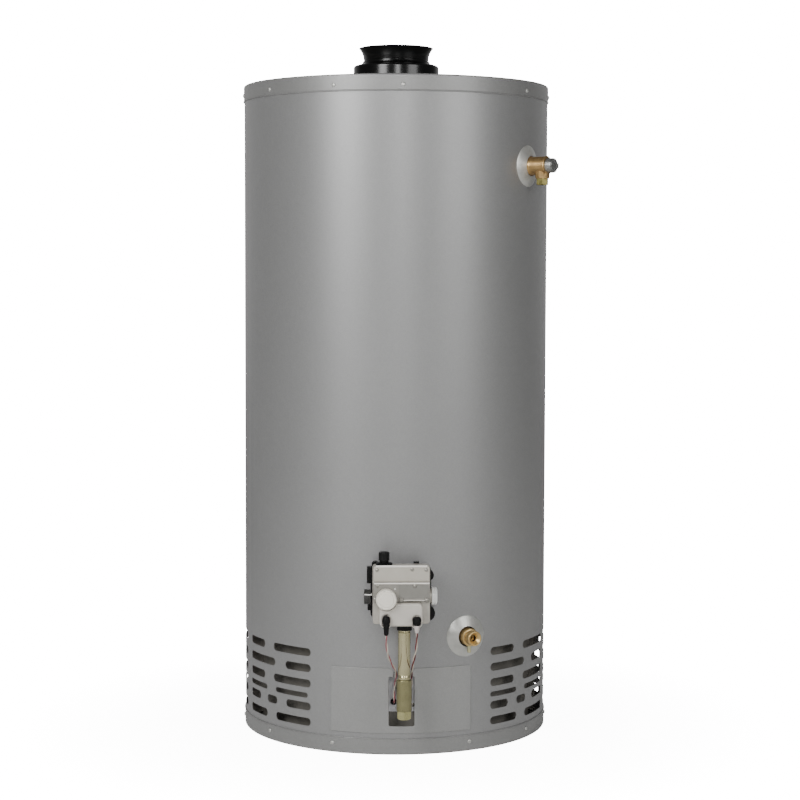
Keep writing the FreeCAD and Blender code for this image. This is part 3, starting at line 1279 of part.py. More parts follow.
NODES = {
    "base_pan": base_pan,
    "outer_jacket": outer_jacket,
    "top_pan": top_pan,
    "top_pan_screws": lambda: pan_screws(TOP_SCREWS, TOP_SCREW_Z),
    "base_pan_screws": lambda: pan_screws(base_screw_azimuths(), BASE_SCREW_Z),
    "outer_door": outer_door,
    "tank_shell": tank_shell,
    "tank_top_head": tank_top_head,
    "tank_bottom_head": tank_bottom_head,
    "flue_tube": flue_tube,
    "flue_baffle": flue_baffle,
    "tank_spuds": tank_spuds,
    "foam_insulation": foam_insulation,
    "top_insulation": top_insulation,
    "water_nipples": water_nipples,
    "dip_tube": dip_tube,
    "anode_rod": anode_rod,
    "vent_collar": vent_collar,
    "vent_flare": vent_flare,
    "combustion_skirt": combustion_skirt,
    "flame_arrestor": flame_arrestor,
    "main_burner": main_burner,
    "manifold_tube": manifold_tube,
    "gas_orifice": gas_orifice,
    "pilot_assembly": pilot_assembly,
    "pilot_tube": pilot_tube,
    "inner_door": inner_door,
    "inner_door_screws": inner_door_screws,
    "sight_glass": sight_glass,
    "lead_grommets": lead_grommets,
    "feed_pipe": feed_pipe,
    "feed_tee": feed_tee,
    "tee_plug": tee_plug,
    "outlet_nut": outlet_nut,
    "valve_rear_housing": valve_rear_housing,
    "valve_casting": valve_casting,
    "valve_upper_cover": valve_upper_cover,
    "valve_label_cover": valve_label_cover,
    "valve_lower_cover": valve_lower_cover,
    "valve_cover_screws": valve_cover_screws,
    "temperature_dial": temperature_dial,
    "gas_knob": gas_knob,
    "gas_knob_stem": gas_knob_stem,
    "inlet_cap": inlet_cap,
    "port_fitting": port_fitting,
    "thermowell": thermowell,
    "lead_plugs": lead_plugs,
    "left_lead": left_lead,
    "right_lead": right_lead,
    "escutcheons": escutcheons,
    "relief_valve_body": relief_valve_body,
    "relief_outlet_bushing": relief_outlet_bushing,
    "relief_end_cap": relief_end_cap,
    "relief_lever": relief_lever,
    "relief_stem": relief_stem,
    "relief_spring": relief_spring,
    "drain_valve_body": drain_valve_body,
    "drain_stem": drain_stem,
    "drain_washer": drain_washer,
}


def main():
    """Builds every node and writes one STEP file for each."""
    os.makedirs("parts", exist_ok=True)
    for name, build in NODES.items():
        shape = build()
        if not shape.isValid() or not shape.Solids or shape.Volume <= 0:
            print("CHECK", name, "valid", shape.isValid(), "solids", len(shape.Solids), "volume", shape.Volume)
        shape.exportStep(os.path.join("parts", name + ".step"))


main()
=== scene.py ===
"""Looks for a gas-fired storage water heater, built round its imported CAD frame.

Blender units are metres, with +Z up and the gas control towards -Y. Sizes in the classes are in millimetres.
A fitting is shaped in a face frame (x right, y up, z outward from the jacket) and turned to its azimuth.
"""

import json
import logging
import math
from dataclasses import dataclass
from enum import Enum
from typing import Any, Callable, Iterable, Optional, Sequence

import bmesh
import bpy
from mathutils import Matrix, Vector


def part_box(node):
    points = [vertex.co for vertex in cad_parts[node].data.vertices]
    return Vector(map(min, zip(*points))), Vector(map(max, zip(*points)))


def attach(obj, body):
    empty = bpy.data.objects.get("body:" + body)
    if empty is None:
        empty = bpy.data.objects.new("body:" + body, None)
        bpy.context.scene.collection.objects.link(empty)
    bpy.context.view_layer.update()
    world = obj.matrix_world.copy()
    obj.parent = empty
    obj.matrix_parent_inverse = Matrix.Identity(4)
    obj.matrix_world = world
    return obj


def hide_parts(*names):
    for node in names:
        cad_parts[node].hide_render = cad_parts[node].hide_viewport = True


LOG = logging.getLogger("water_heater")
MM = 0.001
JACKET_RADIUS = 279.5
Point = tuple[float, float]
Place = tuple[float, float, float]
FEED_AT: Point = (2.0, -329.5)
KNOB_AT: Point = (-33.0, -329.5)

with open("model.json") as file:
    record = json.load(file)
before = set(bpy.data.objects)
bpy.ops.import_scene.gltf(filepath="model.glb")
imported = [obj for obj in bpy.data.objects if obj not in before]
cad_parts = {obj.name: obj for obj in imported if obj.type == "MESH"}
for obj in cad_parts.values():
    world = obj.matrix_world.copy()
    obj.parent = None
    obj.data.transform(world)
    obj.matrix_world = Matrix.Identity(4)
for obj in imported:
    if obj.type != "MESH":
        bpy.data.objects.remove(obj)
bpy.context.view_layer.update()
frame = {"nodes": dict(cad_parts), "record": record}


# ------------------------------------------------------------------ materials
def linear(code: str) -> tuple[float, float, float, float]:
    """Turns an sRGB hex colour to linear light.

    Args:
        code: six hex digits.

    Returns:
        Red, green, blue and an alpha of 1.
    """
    parts = [int(code[i:i + 2], 16) / 255 for i in (0, 2, 4)]
    out = [p / 12.92 if p <= 0.04045 else ((p + 0.055) / 1.055) ** 2.4 for p in parts]
    return out[0], out[1], out[2], 1.0


def add_node(tree: bpy.types.NodeTree, kind: str, inputs: dict[Any, Any],
             **settings: Any) -> bpy.types.Node:
    """Adds a node with its settings and links.

    Args:
        tree: the node tree that gets the node.
        kind: the node's type name, without the ShaderNode prefix.
        inputs: a value or an output socket for each input, by name or number.
        settings: attributes of the node.

    Returns:
        The new node.
    """
    node = tree.nodes.new("ShaderNode" + kind)
    for key, value in settings.items():
        setattr(node, key, value)
    for key, value in inputs.items():
        if isinstance(value, bpy.types.NodeSocket):
            tree.links.new(value, node.inputs[key])
        else:
            node.inputs[key].default_value = value
    return node


class Grain(Enum):
    """How a surface's fine marks run."""

    EVEN = (1.0, 1.0, 1.0)
    RINGS = (1.0, 1.0, 14.0)
    UPRIGHT = (9.0, 9.0, 0.7)
    LENGTHWAYS = (0.6, 8.0, 8.0)


@dataclass(frozen=True)
class Finish:
    """A finish with patterns sized in millimetres, on object coordinates."""

    name: str
    colour: str
    shade: str = ""
    rough: float = 0.5
    rough_swing: float = 0.08
    metallic: float = 0.0
    ior: float = 1.5
    patch_mm: float = 60.0
    patch: float = 0.35
    grain: Grain = Grain.EVEN
    grain_mm: float = 1.2
    bump_mm: float = 0.04
    coat: float = 0.0
    coat_rough: float = 0.1
    clear: float = 0.0

    def coordinates(self, tree: bpy.types.NodeTree, size_mm: float,
                    grain: Grain) -> bpy.types.NodeSocket:
        """Object coordinates scaled so that one unit is size_mm, stretched by the grain.

        Args:
            tree: the material's tree.
            size_mm: the real size of one unit of the pattern.
            grain: the direction of the marks.

        Returns:
            The vector output.
        """
        per_metre = 1000.0 / size_mm
        place = add_node(tree, "TexCoord", {})
        scale = tuple(per_metre * g for g in grain.value)
        return add_node(tree, "Mapping",
                        {"Vector": place.outputs["Object"], "Scale": scale}).outputs["Vector"]

    def tint(self, tree: bpy.types.NodeTree) -> bpy.types.NodeSocket:
        """Base colour: broad soft patches of the shade over the colour, and a light fine mottle.

        Args:
            tree: the material's tree.

        Returns:
            The colour output.
        """
        broad = add_node(tree, "TexNoise", {
            "Vector": self.coordinates(tree, self.patch_mm, Grain.EVEN), "Scale": 1.0,
            "Detail": 3.0,
        })
        ramp = add_node(tree, "MapRange", {
            "Value": broad.outputs["Fac"], "From Min": 0.35, "From Max": 0.7, "To Min": 0.0,
            "To Max": self.patch,
        })
        mix = add_node(tree, "Mix", {
            0: ramp.outputs["Result"], 6: linear(self.colour), 7: linear(self.shade or self.colour),
        }, data_type="RGBA")
        return mix.outputs[2]

    def relief(self, tree: bpy.types.NodeTree) -> bpy.types.NodeSocket:
        """Height of the fine marks, from 0 to 1.

        Args:
            tree: the material's tree.

        Returns:
            The height output.
        """
        return add_node(tree, "TexNoise", {
            "Vector": self.coordinates(tree, self.grain_mm, self.grain), "Scale": 1.0,
            "Detail": 4.0,
        }).outputs["Fac"]

    def material(self) -> bpy.types.Material:
        """Makes the material, or gives it again if it is made.

        Returns:
            The Blender material.
        """
        if self.name in bpy.data.materials:
            return bpy.data.materials[self.name]
        made = bpy.data.materials.new(self.name)
        made.use_nodes = True
        tree = made.node_tree
        tree.nodes.clear()
        height = self.relief(tree)
        rough = add_node(tree, "MapRange", {
            "Value": height, "From Min": 0.3, "From Max": 0.7,
            "To Min": max(0.02, self.rough - self.rough_swing),
            "To Max": min(1.0, self.rough + self.rough_swing),
        })
        bump = add_node(tree, "Bump",
                        {"Height": height, "Strength": 0.6, "Distance": self.bump_mm * MM})
        shader = add_node(tree, "BsdfPrincipled", {
            "Base Color": self.tint(tree), "Roughness": rough.outputs["Result"],
            "Normal": bump.outputs["Normal"],
            "Metallic": self.metallic, "IOR": self.ior, "Coat Weight": self.coat,
            "Coat Roughness": self.coat_rough, "Transmission Weight": self.clear,
        })
        add_node(tree, "OutputMaterial", {"Surface": shader.outputs["BSDF"]})
        return made


@dataclass(frozen=True)
class FlakePaint(Finish):
    """Stoved enamel with aluminium flake: the eye gets a soft sheen, a fine sparkle and orange peel."""

    flake_mm: float = 1.5
    sparkle: float = 0.08

    def tint(self, tree: bpy.types.NodeTree) -> bpy.types.NodeSocket:
        """Base colour with light and dark flakes, drawn coarser than real flake so that they show.

        Args:
            tree: the material's tree.

        Returns:
            The colour output.
        """
        base = super().tint(tree)
        flake = add_node(tree, "TexVoronoi", {
            "Vector": self.coordinates(tree, self.flake_mm, Grain.EVEN), "Scale": 1.0,
        })
        level = add_node(tree, "SeparateColor", {"Color": flake.outputs["Color"]})
        bright = add_node(tree, "MapRange", {
            "Value": level.outputs["Red"], "To Min": 1.0 - self.sparkle * 0.5,
            "To Max": 1.0 + self.sparkle * 0.5,
        })
        mix = add_node(tree, "Mix", {
            0: 1.0, 6: base, 7: bright.outputs["Result"],
        }, data_type="RGBA", blend_type="MULTIPLY")
        return mix.outputs[2]


@dataclass(frozen=True)
class Fibre(Finish):
    """Foam or glass wool: cells or strands deep enough to cast their own shade."""

    def relief(self, tree: bpy.types.NodeTree) -> bpy.types.NodeSocket:
        """Height of the cells, round and open.

        Args:
            tree: the material's tree.

        Returns:
            The height output.
        """
        return add_node(tree, "TexVoronoi", {
            "Vector": self.coordinates(tree, self.grain_mm, self.grain), "Scale": 1.0,
        }).outputs["Distance"]


# Stoved flake enamel, rolled out flat on sheet steel: a satin grey that brightens where it faces the light.
JACKET = FlakePaint("flake_enamel_on_sheet_steel", "989898", "929292", 0.42, 0.02, 0.5,
                    patch_mm=260.0,
                    grain_mm=2.4, bump_mm=0.006, coat=0.1, coat_rough=0.25)
# The same enamel on the pressed pans, a touch duller where the sheet was drawn.
PAN = FlakePaint("flake_enamel_on_pressed_steel", "939392", "888887", 0.44, 0.03, 0.45,
                 patch_mm=120.0,
                 grain_mm=2.4, bump_mm=0.008, coat=0.08, coat_rough=0.3)
# The door was stoved in another batch and shows a little lighter.
DOOR = FlakePaint("flake_enamel_on_door_sheet", "9d9d9c", "949493", 0.42, 0.03, 0.45, patch_mm=90.0,
                  grain_mm=2.4, bump_mm=0.008, coat=0.1, coat_rough=0.25)
# Vitreous black on spun steel: very dark, with one broad soft band where it faces the light.
VENT_BLACK = Finish("black_enamel_on_spun_steel", "040404", "060606", 0.2, 0.02, 0.0, 1.5, 40.0,
                    0.5,
                    grain_mm=3.0, bump_mm=0.003)
# Filled nylon: a dry black with a faint grain and almost no shine.
BLACK_PLASTIC = Finish("glass_filled_nylon_moulded", "040404", "070706", 0.5, 0.06, 0.0, 1.3, 14.0,
                       0.5,
                       grain_mm=0.6, bump_mm=0.02)
# Phenolic: black with a soft highlight on the crown's edge.
KNOB_PLASTIC = Finish("black_phenolic_moulded", "030303", "050505", 0.4, 0.05, 0.0, 1.36, 10.0, 0.5,
                      grain_mm=0.5, bump_mm=0.015)
# Moulded nylon, grey: dry and even, lighter than the black housing behind it.
PORT_PLASTIC = Finish("grey_nylon_moulded", "3a3a38", "2c2c2a", 0.5, 0.1, 0.0, 1.53, 12.0, 0.7,
                      grain_mm=0.7, bump_mm=0.05)
# Painted die casting: pale warm grey with a sandy skin; the ridges on the covers are separate pieces with a
# painted highlight.
CASTING = Finish("lacquered_zinc_die_casting", "bdb9b0", "a9a59c", 0.44, 0.1, 0.35, 1.5, 18.0, 0.7,
                 grain_mm=0.7, bump_mm=0.06, coat=0.15, coat_rough=0.3)
# The casting's lacquer on the smooth upper cover: a shade lighter, with less grit.
COVER = Finish("lacquered_cover_casting", "c2bdb2", "b7b2a7", 0.42, 0.06, 0.25, 1.5, 22.0, 0.5,
               grain_mm=0.7, bump_mm=0.03, coat=0.15, coat_rough=0.3)
# The same casting lacquered mid grey, so that the panel over it hardly stands out.
LABEL_COVER = Finish("grey_lacquered_cover_casting", "96938c", "87847d", 0.46, 0.08, 0.3, 1.5, 20.0,
                     0.6,
                     grain_mm=0.7, bump_mm=0.05)
# Plain satin film: the flat darker rectangle where a label would be.
LABEL_PANEL = Finish("blank_satin_film", "85837d", "7c7a74", 0.38, 0.05, 0.0, 1.5, 12.0, 0.5,
                     grain_mm=0.9, bump_mm=0.02)
# Pale lacquer on the lower cover: the brightest of the cast faces.
LOWER_COVER = Finish("pale_lacquered_cover_casting", "d0cbc2", "c3beb5", 0.42, 0.06, 0.2, 1.5, 22.0,
                     0.5,
                     grain_mm=0.7, bump_mm=0.03, coat=0.15, coat_rough=0.3)
# The same lacquer on the raised ridges, drawn much brighter than the faces: a painted highlight for the
# light they catch from above.
RIDGE_PAINTED_HIGHLIGHT = Finish("lacquered_ridge_painted_highlight", "f4f0e8", "e9e4db", 0.34, 0.04, 0.0, 1.5, 20.0, 0.4,
               grain_mm=0.7, bump_mm=0.015, coat=0.3, coat_rough=0.2)
# Moulded ABS in cream: smooth and bright, with a soft gloss at the rim.
DIAL_WHITE = Finish("cream_abs_moulded", "f1ece0", "e8e2d5", 0.36, 0.05, 0.0, 1.5, 12.0, 0.4,
                    grain_mm=0.5, bump_mm=0.012, coat=0.1, coat_rough=0.2)
# Pad-printed ink in grey: thin flat marks with no shine.
MARK_GREY = Finish("grey_pad_printed_ink", "57534c", "625e57", 0.5, 0.04, grain_mm=0.4,
                   bump_mm=0.01)
# Pad-printed ink in white: thin flat marks on black.
MARK_WHITE = Finish("white_pad_printed_ink", "f0eee8", "e4e1da", 0.5, 0.05, grain_mm=0.4,
                    bump_mm=0.01)
# Polyethylene: a bright milky white with soft edges.
CAP_WHITE = Finish("white_polyethylene_moulded", "fbfbf8", "f1f2ed", 0.42, 0.05, 0.0, 1.5, 10.0,
                   0.4,
                   grain_mm=0.6, bump_mm=0.015)
# Moulded rubber: black and soft, with a fine bloom.
RUBBER = Finish("black_rubber_moulded", "030303", "060606", 0.5, 0.08, 0.0, 1.3, 6.0, 0.6,
                grain_mm=0.5, bump_mm=0.02)
# Silicone: milky, with a little light coming through the thin cone.
CLEAR_BOOT = Finish("milky_silicone_moulded", "dcd3ce", "c9bfba", 0.4, 0.06, 0.0, 1.42, 4.0, 0.5,
                    grain_mm=0.5, bump_mm=0.02, clear=0.15)
# Glass braid over the wire: off-white, dry and slightly furry.
WIRE_WHITE = Finish("white_glass_braid_sleeve", "c9bfb2", "ae9f90", 0.62, 0.08, 0.0, 1.5, 6.0, 0.6,
                    Grain.UPRIGHT, 0.9, 0.04)
# Silicone insulation: faded pink, soft shine.
WIRE_PINK = Finish("pink_silicone_wire_insulation", "995c62", "7d474e", 0.45, 0.06, 0.0, 1.45, 8.0,
                   0.5,
                   grain_mm=0.6, bump_mm=0.02)
# The same insulation in dark red.
WIRE_RED = Finish("red_silicone_wire_insulation", "66262a", "4d1b1f", 0.42, 0.06, 0.0, 1.45, 8.0,
                  0.5,
                  grain_mm=0.6, bump_mm=0.02)
# Yellow-passivated zinc on drawn pipe: olive with a faint oily bloom and lengthways draw lines.
PIPE_ZINC = Finish("yellow_passivated_zinc_on_pipe", "c6bf9b", "a9a177", 0.2, 0.03, 1.0, 1.5, 30.0,
                   0.4,
                   Grain.UPRIGHT, 2.2, 0.008)
# The same zinc on the forged tee, browner and a little rougher.
TEE_ZINC = Finish("olive_passivated_zinc_on_forging", "9d9873", "827d58", 0.29, 0.05, 1.0, 1.5,
                  26.0, 0.5,
                  Grain.UPRIGHT, 1.8, 0.02)
# Fresh passivated zinc on a turned plug: paler and crisper.
PLUG_ZINC = Finish("bright_passivated_zinc_turned", "c4bf8d", "a09b69", 0.27, 0.05, 1.0, 1.5, 14.0,
                   0.5,
                   Grain.RINGS, 1.4, 0.015)
# Yellow zinc on the bushing: deep straw, with broad patches of a much darker straw, painted shade for where
# it turns down.
HEX_ZINC = Finish("yellow_zinc_on_turned_bushing", "8f8654", "4f4920", 0.3, 0.05, 1.0, 1.5, 8.0,
                  0.5,
                  Grain.RINGS, 1.2, 0.01)
# Black oxide: oily dark steel that only shines on its corners.
BLACK_OXIDE = Finish("black_oxide_on_steel_nut", "0c0b0a", "12110f", 0.4, 0.06, 0.6, 1.5, 8.0, 0.6,
                     grain_mm=0.9, bump_mm=0.03)
# Sand-cast brass, tumbled: warm bronze with brown patches in the hollows.
BRASS_CAST = Finish("tumbled_cast_brass", "c9a874", "9a7040", 0.34, 0.05, 0.95, 1.5, 16.0, 0.5,
                    grain_mm=0.9, bump_mm=0.02)
# Turned bar: pale yellow brass with fine rings.
BRASS_TURNED = Finish("turned_brass_bar", "d6b981", "b7955a", 0.38, 0.05, 0.85, 1.5, 12.0, 0.4,
                      Grain.RINGS, 1.0, 0.01)
# Zinc over the drain screw: pale straw against the brass.
DRAIN_SCREW = Finish("pale_zinc_on_drain_screw", "d8d2a8", "bfb98c", 0.3, 0.05, 1.0, 1.5, 8.0, 0.4,
                     Grain.RINGS, 1.0, 0.012)
# Painted shadow deep in a bore: a dark brass colour that reads as a dark hole.
BORE_PAINTED_SHADOW = Finish("brass_bore_painted_shadow", "2a2016", "181209", 0.6, 0.08, 0.7, 1.5, 5.0, 0.6,
                   grain_mm=0.8, bump_mm=0.03)
# Spun trim plate: dull silver with faint rings and handling marks.
TRIM = Finish("spun_zinc_plated_trim", "c9c9c4", "adada8", 0.36, 0.05, 0.6, 1.5, 16.0, 0.5,
              grain_mm=1.6, bump_mm=0.012)
# Embossed steel lever plate: a fine dark mottle painted in as the shade of the pressing; bright on its rim.
CAP_STEEL = Finish("embossed_zinc_plated_cap", "b9bab6", "6a6b68", 0.34, 0.06, 0.9, 1.5, 3.6, 0.8,
                   grain_mm=1.3, bump_mm=0.04)
# Zinc screws: small bright spots on the grey.
SCREW_ZINC = Finish("zinc_plated_screw", "cfcfcb", "adada8", 0.34, 0.06, 0.6, 1.5, 4.0, 0.5,
                    grain_mm=0.7, bump_mm=0.02)
# Zinc on the cover screws: small duller heads that sit quietly on the casting.
COVER_SCREW = Finish("zinc_plated_cover_screw", "b3b0a8", "8e8b84", 0.34, 0.1, 0.9, 1.5, 4.0, 0.6,
                     grain_mm=0.7, bump_mm=0.03)
# Galvanised sheet seen through the door's slot: pale and even.
PLATE_STEEL = Finish("galvanised_inner_plate", "d8d8da", "c6c6c9", 0.45, 0.06, 0.2, 1.5, 14.0, 0.5,
                     grain_mm=2.0, bump_mm=0.015)
# Bare chamber sheet in the shade behind the louvres: a flat mid grey.
CHAMBER_STEEL = Finish("mill_scale_chamber_sheet", "77746e", "5e5b56", 0.62, 0.08, 0.2, 1.5, 30.0,
                       0.6,
                       Grain.UPRIGHT, 4.0, 0.04)
# Hot-rolled tank plate with its scale on: dark, with rings left by the rolls.
TANK_STEEL = Finish("mill_scale_tank_plate", "34332f", "23211e", 0.55, 0.12, 0.5, 1.5, 60.0, 0.8,
                    Grain.RINGS, 5.0, 0.08)
# Flue tube under soot: dark brown grey, streaked upright.
FLUE_STEEL = Finish("sooted_flue_tube", "4a4743", "2b2927", 0.55, 0.12, 0.6, 1.5, 25.0, 0.8,
                    Grain.UPRIGHT, 4.0, 0.08)
# Turned mild steel: bright fine rings.
SPUD_STEEL = Finish("turned_steel_socket", "8c8b87", "6b6a66", 0.36, 0.1, 1.0, 1.5, 9.0, 0.6,
                    Grain.RINGS, 1.4, 0.03)
# Pressed stainless sheet: warm grey with a satin shine.
BURNER_STEEL = Finish("pressed_stainless_sheet", "9a948c", "7a736b", 0.36, 0.1, 1.0, 1.5, 22.0, 0.7,
                      grain_mm=2.0, bump_mm=0.04)
# Plain drawn pipe, no plating: dark and streaked lengthways.
MANIFOLD = Finish("plain_drawn_pipe", "6b6660", "4c4843", 0.42, 0.1, 0.9, 1.5, 16.0, 0.7,
                  Grain.LENGTHWAYS, 3.0, 0.05)
# Nickel plate on a small pressing: warm and crisp.
PILOT_STEEL = Finish("nickel_plated_pressing", "a19d95", "807c74", 0.3, 0.08, 1.0, 1.5, 7.0, 0.6,
                     grain_mm=0.9, bump_mm=0.02)
# Drawn aluminium: pale, with fine lines along the tube.
ALUMINIUM_TUBE = Finish("drawn_aluminium_tube", "b9b9b8", "9a9a98", 0.3, 0.08, 1.0, 1.5, 8.0, 0.5,
                        Grain.LENGTHWAYS, 1.6, 0.02)
# Bright zinc on a turned nipple: cool silver rings.
NIPPLE_ZINC = Finish("zinc_plated_nipple", "b5b5b0", "93938d", 0.3, 0.1, 1.0, 1.5, 9.0, 0.6,
                     Grain.RINGS, 1.2, 0.03)
# Extruded magnesium: flat pale grey, with lines left by the die.
ANODE = Finish("extruded_magnesium_rod", "9a9a9a", "7f7f80", 0.5, 0.1, 0.9, 1.5, 18.0, 0.7,
               Grain.UPRIGHT, 3.0, 0.05)
# Extruded polypropylene, uncoloured: cloudy white and waxy.
DIP_PLASTIC = Finish("natural_polypropylene_tube", "dcdcd6", "cfcfc8", 0.45, 0.06, 0.0, 1.49, 20.0,
                     0.5,
                     Grain.UPRIGHT, 2.0, 0.02)
# Foam that rose in place: straw yellow, full of small open cells.
FOAM = Fibre("polyurethane_foam_in_place", "dccf9a", "c3b277", 0.85, 0.1, 0.0, 1.5, 30.0, 0.7,
             grain_mm=3.0, bump_mm=0.6)
# Glass wool: yellow, matt and stringy.
WOOL = Fibre("glass_wool_mat", "d8c069", "bfa34c", 0.9, 0.08, 0.0, 1.5, 18.0, 0.8,
             Grain.LENGTHWAYS, 4.0, 0.9)
# Pressed borosilicate: clear, with a slight green cast.
SIGHT = Finish("borosilicate_pressed_disc", "dfe8e4", "cfd8d4", 0.06, 0.02, 0.0, 1.47, 20.0, 0.3,
               grain_mm=3.0, bump_mm=0.01, clear=0.9)
# Drawn spring wire: bright grey, smooth.
SPRING_STEEL = Finish("drawn_spring_wire", "8d8c88", "6b6a67", 0.3, 0.08, 1.0, 1.5, 4.0, 0.5,
                      grain_mm=0.6, bump_mm=0.02)

SLOT_FINISH: dict[str, Finish] = {
    "jacket_paint": JACKET, "door_paint": DOOR, "pan_paint": PAN, "vent_black": VENT_BLACK,
    "pan_screw_zinc": SCREW_ZINC, "tank_steel": TANK_STEEL, "flue_steel": FLUE_STEEL,
    "spud_steel": SPUD_STEEL,
    "foam": FOAM, "glass_wool": WOOL, "nipple_zinc": NIPPLE_ZINC, "dip_plastic": DIP_PLASTIC,
    "anode_magnesium": ANODE, "chamber_steel": CHAMBER_STEEL, "burner_steel": BURNER_STEEL,
    "manifold_steel": MANIFOLD, "orifice_brass": BRASS_TURNED, "pilot_steel": PILOT_STEEL,
    "pilot_aluminium": ALUMINIUM_TUBE, "inner_door_steel": PLATE_STEEL, "sight_glass": SIGHT,
    "grommet_rubber": RUBBER, "feed_pipe_zinc": PIPE_ZINC, "feed_fitting_zinc": TEE_ZINC,
    "tee_plug_zinc": PLUG_ZINC, "outlet_nut_black": BLACK_OXIDE, "housing_black": BLACK_PLASTIC,
    "casting_grey": CASTING, "cover_grey": COVER, "label_cover_grey": LABEL_COVER,
    "lower_cover_grey": LOWER_COVER,
    "cover_screw_steel": COVER_SCREW, "dial_plastic": DIAL_WHITE, "knob_plastic": KNOB_PLASTIC,
    "spindle_steel": SPUD_STEEL, "cap_white": CAP_WHITE, "port_plastic": PORT_PLASTIC,
    "thermowell_brass": BRASS_TURNED, "boot_rubber": RUBBER, "left_lead_sleeve": WIRE_PINK,
    "right_lead_sleeve": WIRE_RED, "escutcheon_steel": TRIM, "relief_brass": BRASS_CAST,
    "bushing_zinc": HEX_ZINC, "relief_cap_steel": CAP_STEEL, "lever_steel": CAP_STEEL,
    "relief_stem_brass": BRASS_TURNED, "spring_steel": SPRING_STEEL, "drain_brass": BRASS_TURNED,
    "drain_stem_brass": DRAIN_SCREW, "washer_rubber": RUBBER,
}


# ------------------------------------------------------------------ shaping
class Form:
    """A mesh being shaped with bmesh operators, in millimetres."""

    def __init__(self) -> None:
        """Starts an empty form."""
        self.bm = bmesh.new()

    @classmethod
    def lathe(cls, profile: Sequence[Point], steps: int = 96, closed: bool = False) -> "Form":
        """Turns a profile about Z.

        Args:
            profile: (radius, height) corners, in order.
            steps: flats round the circle.
            closed: joins the last corner to the first, for a ring.

        Returns:
            The turned form.
        """
        made = cls()
        bm = made.bm
        verts = [bm.verts.new((r, 0.0, z)) for r, z in profile]
        pairs = list(zip(verts, verts[1:])) + ([(verts[-1], verts[0])] if closed else [])
        edges = [bm.edges.new(p) for p in pairs]
        bmesh.ops.spin(bm, geom=verts + edges, cent=(0, 0, 0), axis=(0, 0, 1), angle=math.tau,
                       steps=steps, use_merge=True)
        return made.tidy()

    @classmethod
    def rod(cls, radius: float, low: float, high: float, at: Point = (0.0, 0.0),
            sides: int = 48) -> "Form":
        """A round or many-sided bar along Z.

        Args:
            radius: to the corners.
            low: lower end.
            high: upper end.
            at: centre in x and y.
            sides: number of flats.

        Returns:
            The bar.
        """
        made = cls()
        middle = Matrix.Translation((at[0], at[1], (low + high) / 2))
        bmesh.ops.create_cone(made.bm, cap_ends=True, segments=sides, radius1=radius,
                              radius2=radius,
                              depth=high - low, matrix=middle)
        return made

    @classmethod
    def block(cls, low: Place, high: Place, corner: float = 0.0, steps: int = 4) -> "Form":
        """A block, with its edges along Z rounded.

        Args:
            low: lowest corner.
            high: highest corner.
            corner: radius of the edges along Z.
            steps: facets of each rounded edge.

        Returns:
            The block.
        """
        made = cls()
        size = [b - a for a, b in zip(low, high)]
        centre = [(a + b) / 2 for a, b in zip(low, high)]
        bmesh.ops.create_cube(made.bm, size=1.0,
                              matrix=Matrix.Translation(centre) @ Matrix.Diagonal((*size, 1.0)))
        if corner:
            edges = [e for e in made.bm.edges if abs((e.verts[0].co - e.verts[1].co).normalized().z) > 0.99]
            made.round(edges, corner, steps)
        return made

    def round(self, edges: Iterable[bmesh.types.BMEdge], width: float, steps: int) -> None:
        """Rounds the given edges.

        Args:
            edges: what to round.
            width: how far the rounding reaches on each side.
            steps: facets across it.
        """
        bmesh.ops.bevel(self.bm, geom=list(edges), offset=width, offset_type="OFFSET",
                        segments=steps,
                        profile=0.5, affect="EDGES", clamp_overlap=True, material=-1)

    def soften(self, width: float, steps: int = 2, angle: float = 35.0,
               where: Optional[Callable[[Vector], bool]] = None) -> "Form":
        """Rounds every edge sharper than an angle.

        Args:
            width: how far the rounding reaches.
            steps: facets across it.
            angle: the least turn between faces, in degrees.
            where: keeps only edges whose middle passes this test.

        Returns:
            This form.
        """
        least = math.radians(angle)
        edges = [e for e in self.bm.edges if len(e.link_faces) == 2 and e.calc_face_angle(0.0) > least]
        if where:
            edges = [e for e in edges if where((e.verts[0].co + e.verts[1].co) / 2)]
        self.round(edges, width, steps)
        return self

    def tidy(self) -> "Form":
        """Merges doubles and turns faces outward.

        Returns:
            This form.
        """
        bmesh.ops.remove_doubles(self.bm, verts=self.bm.verts, dist=1e-4)
        bmesh.ops.recalc_face_normals(self.bm, faces=self.bm.faces)
        return self

    def move(self, matrix: Matrix) -> "Form":
        """Moves the form by a matrix."""
        bmesh.ops.transform(self.bm, matrix=matrix, verts=self.bm.verts)
        return self

    def shift(self, x: float = 0.0, y: float = 0.0, z: float = 0.0) -> "Form":
        """Moves the form along the axes."""
        return self.move(Matrix.Translation((x, y, z)))

    def mesh(self) -> bpy.types.Mesh:
        """Copies the form to a new mesh.

        Returns:
            The mesh, in millimetres.
        """
        made = bpy.data.meshes.new("form")
        self.bm.to_mesh(made)
        return made

    def copy(self) -> "Form":
        """Gives a separate copy.

        Returns:
            The copy.
        """
        made = Form()
        made.bm = self.bm.copy()
        return made

    def add(self, *others: "Form") -> "Form":
        """Puts other forms' meshes in this one, side by side.

        Args:
            others: the forms to take in.

        Returns:
            This form.
        """
        for other in others:
            mesh = other.mesh()
            self.bm.from_mesh(mesh)
            bpy.data.meshes.remove(mesh)
        return self

    def ring_of(self, count: int, first: float = 0.0, span: float = math.tau) -> "Form":
        """Copies the form round Z.

        Args:
            count: number of copies.
            first: angle of the first copy.
            span: angle that the copies share out.

        Returns:
            A new form that holds them all.
        """
        made = Form()
        for i in range(count):
            made.add(self.copy().move(Matrix.Rotation(first + span * i / count, 4, "Z")))
        return made

    def cut(self, *tools: "Form") -> "Form":
        """Cuts other forms out of this one.

        Args:
            tools: closed forms to take away.

        Returns:
            This form.
        """
        return self.combine("DIFFERENCE", tools)

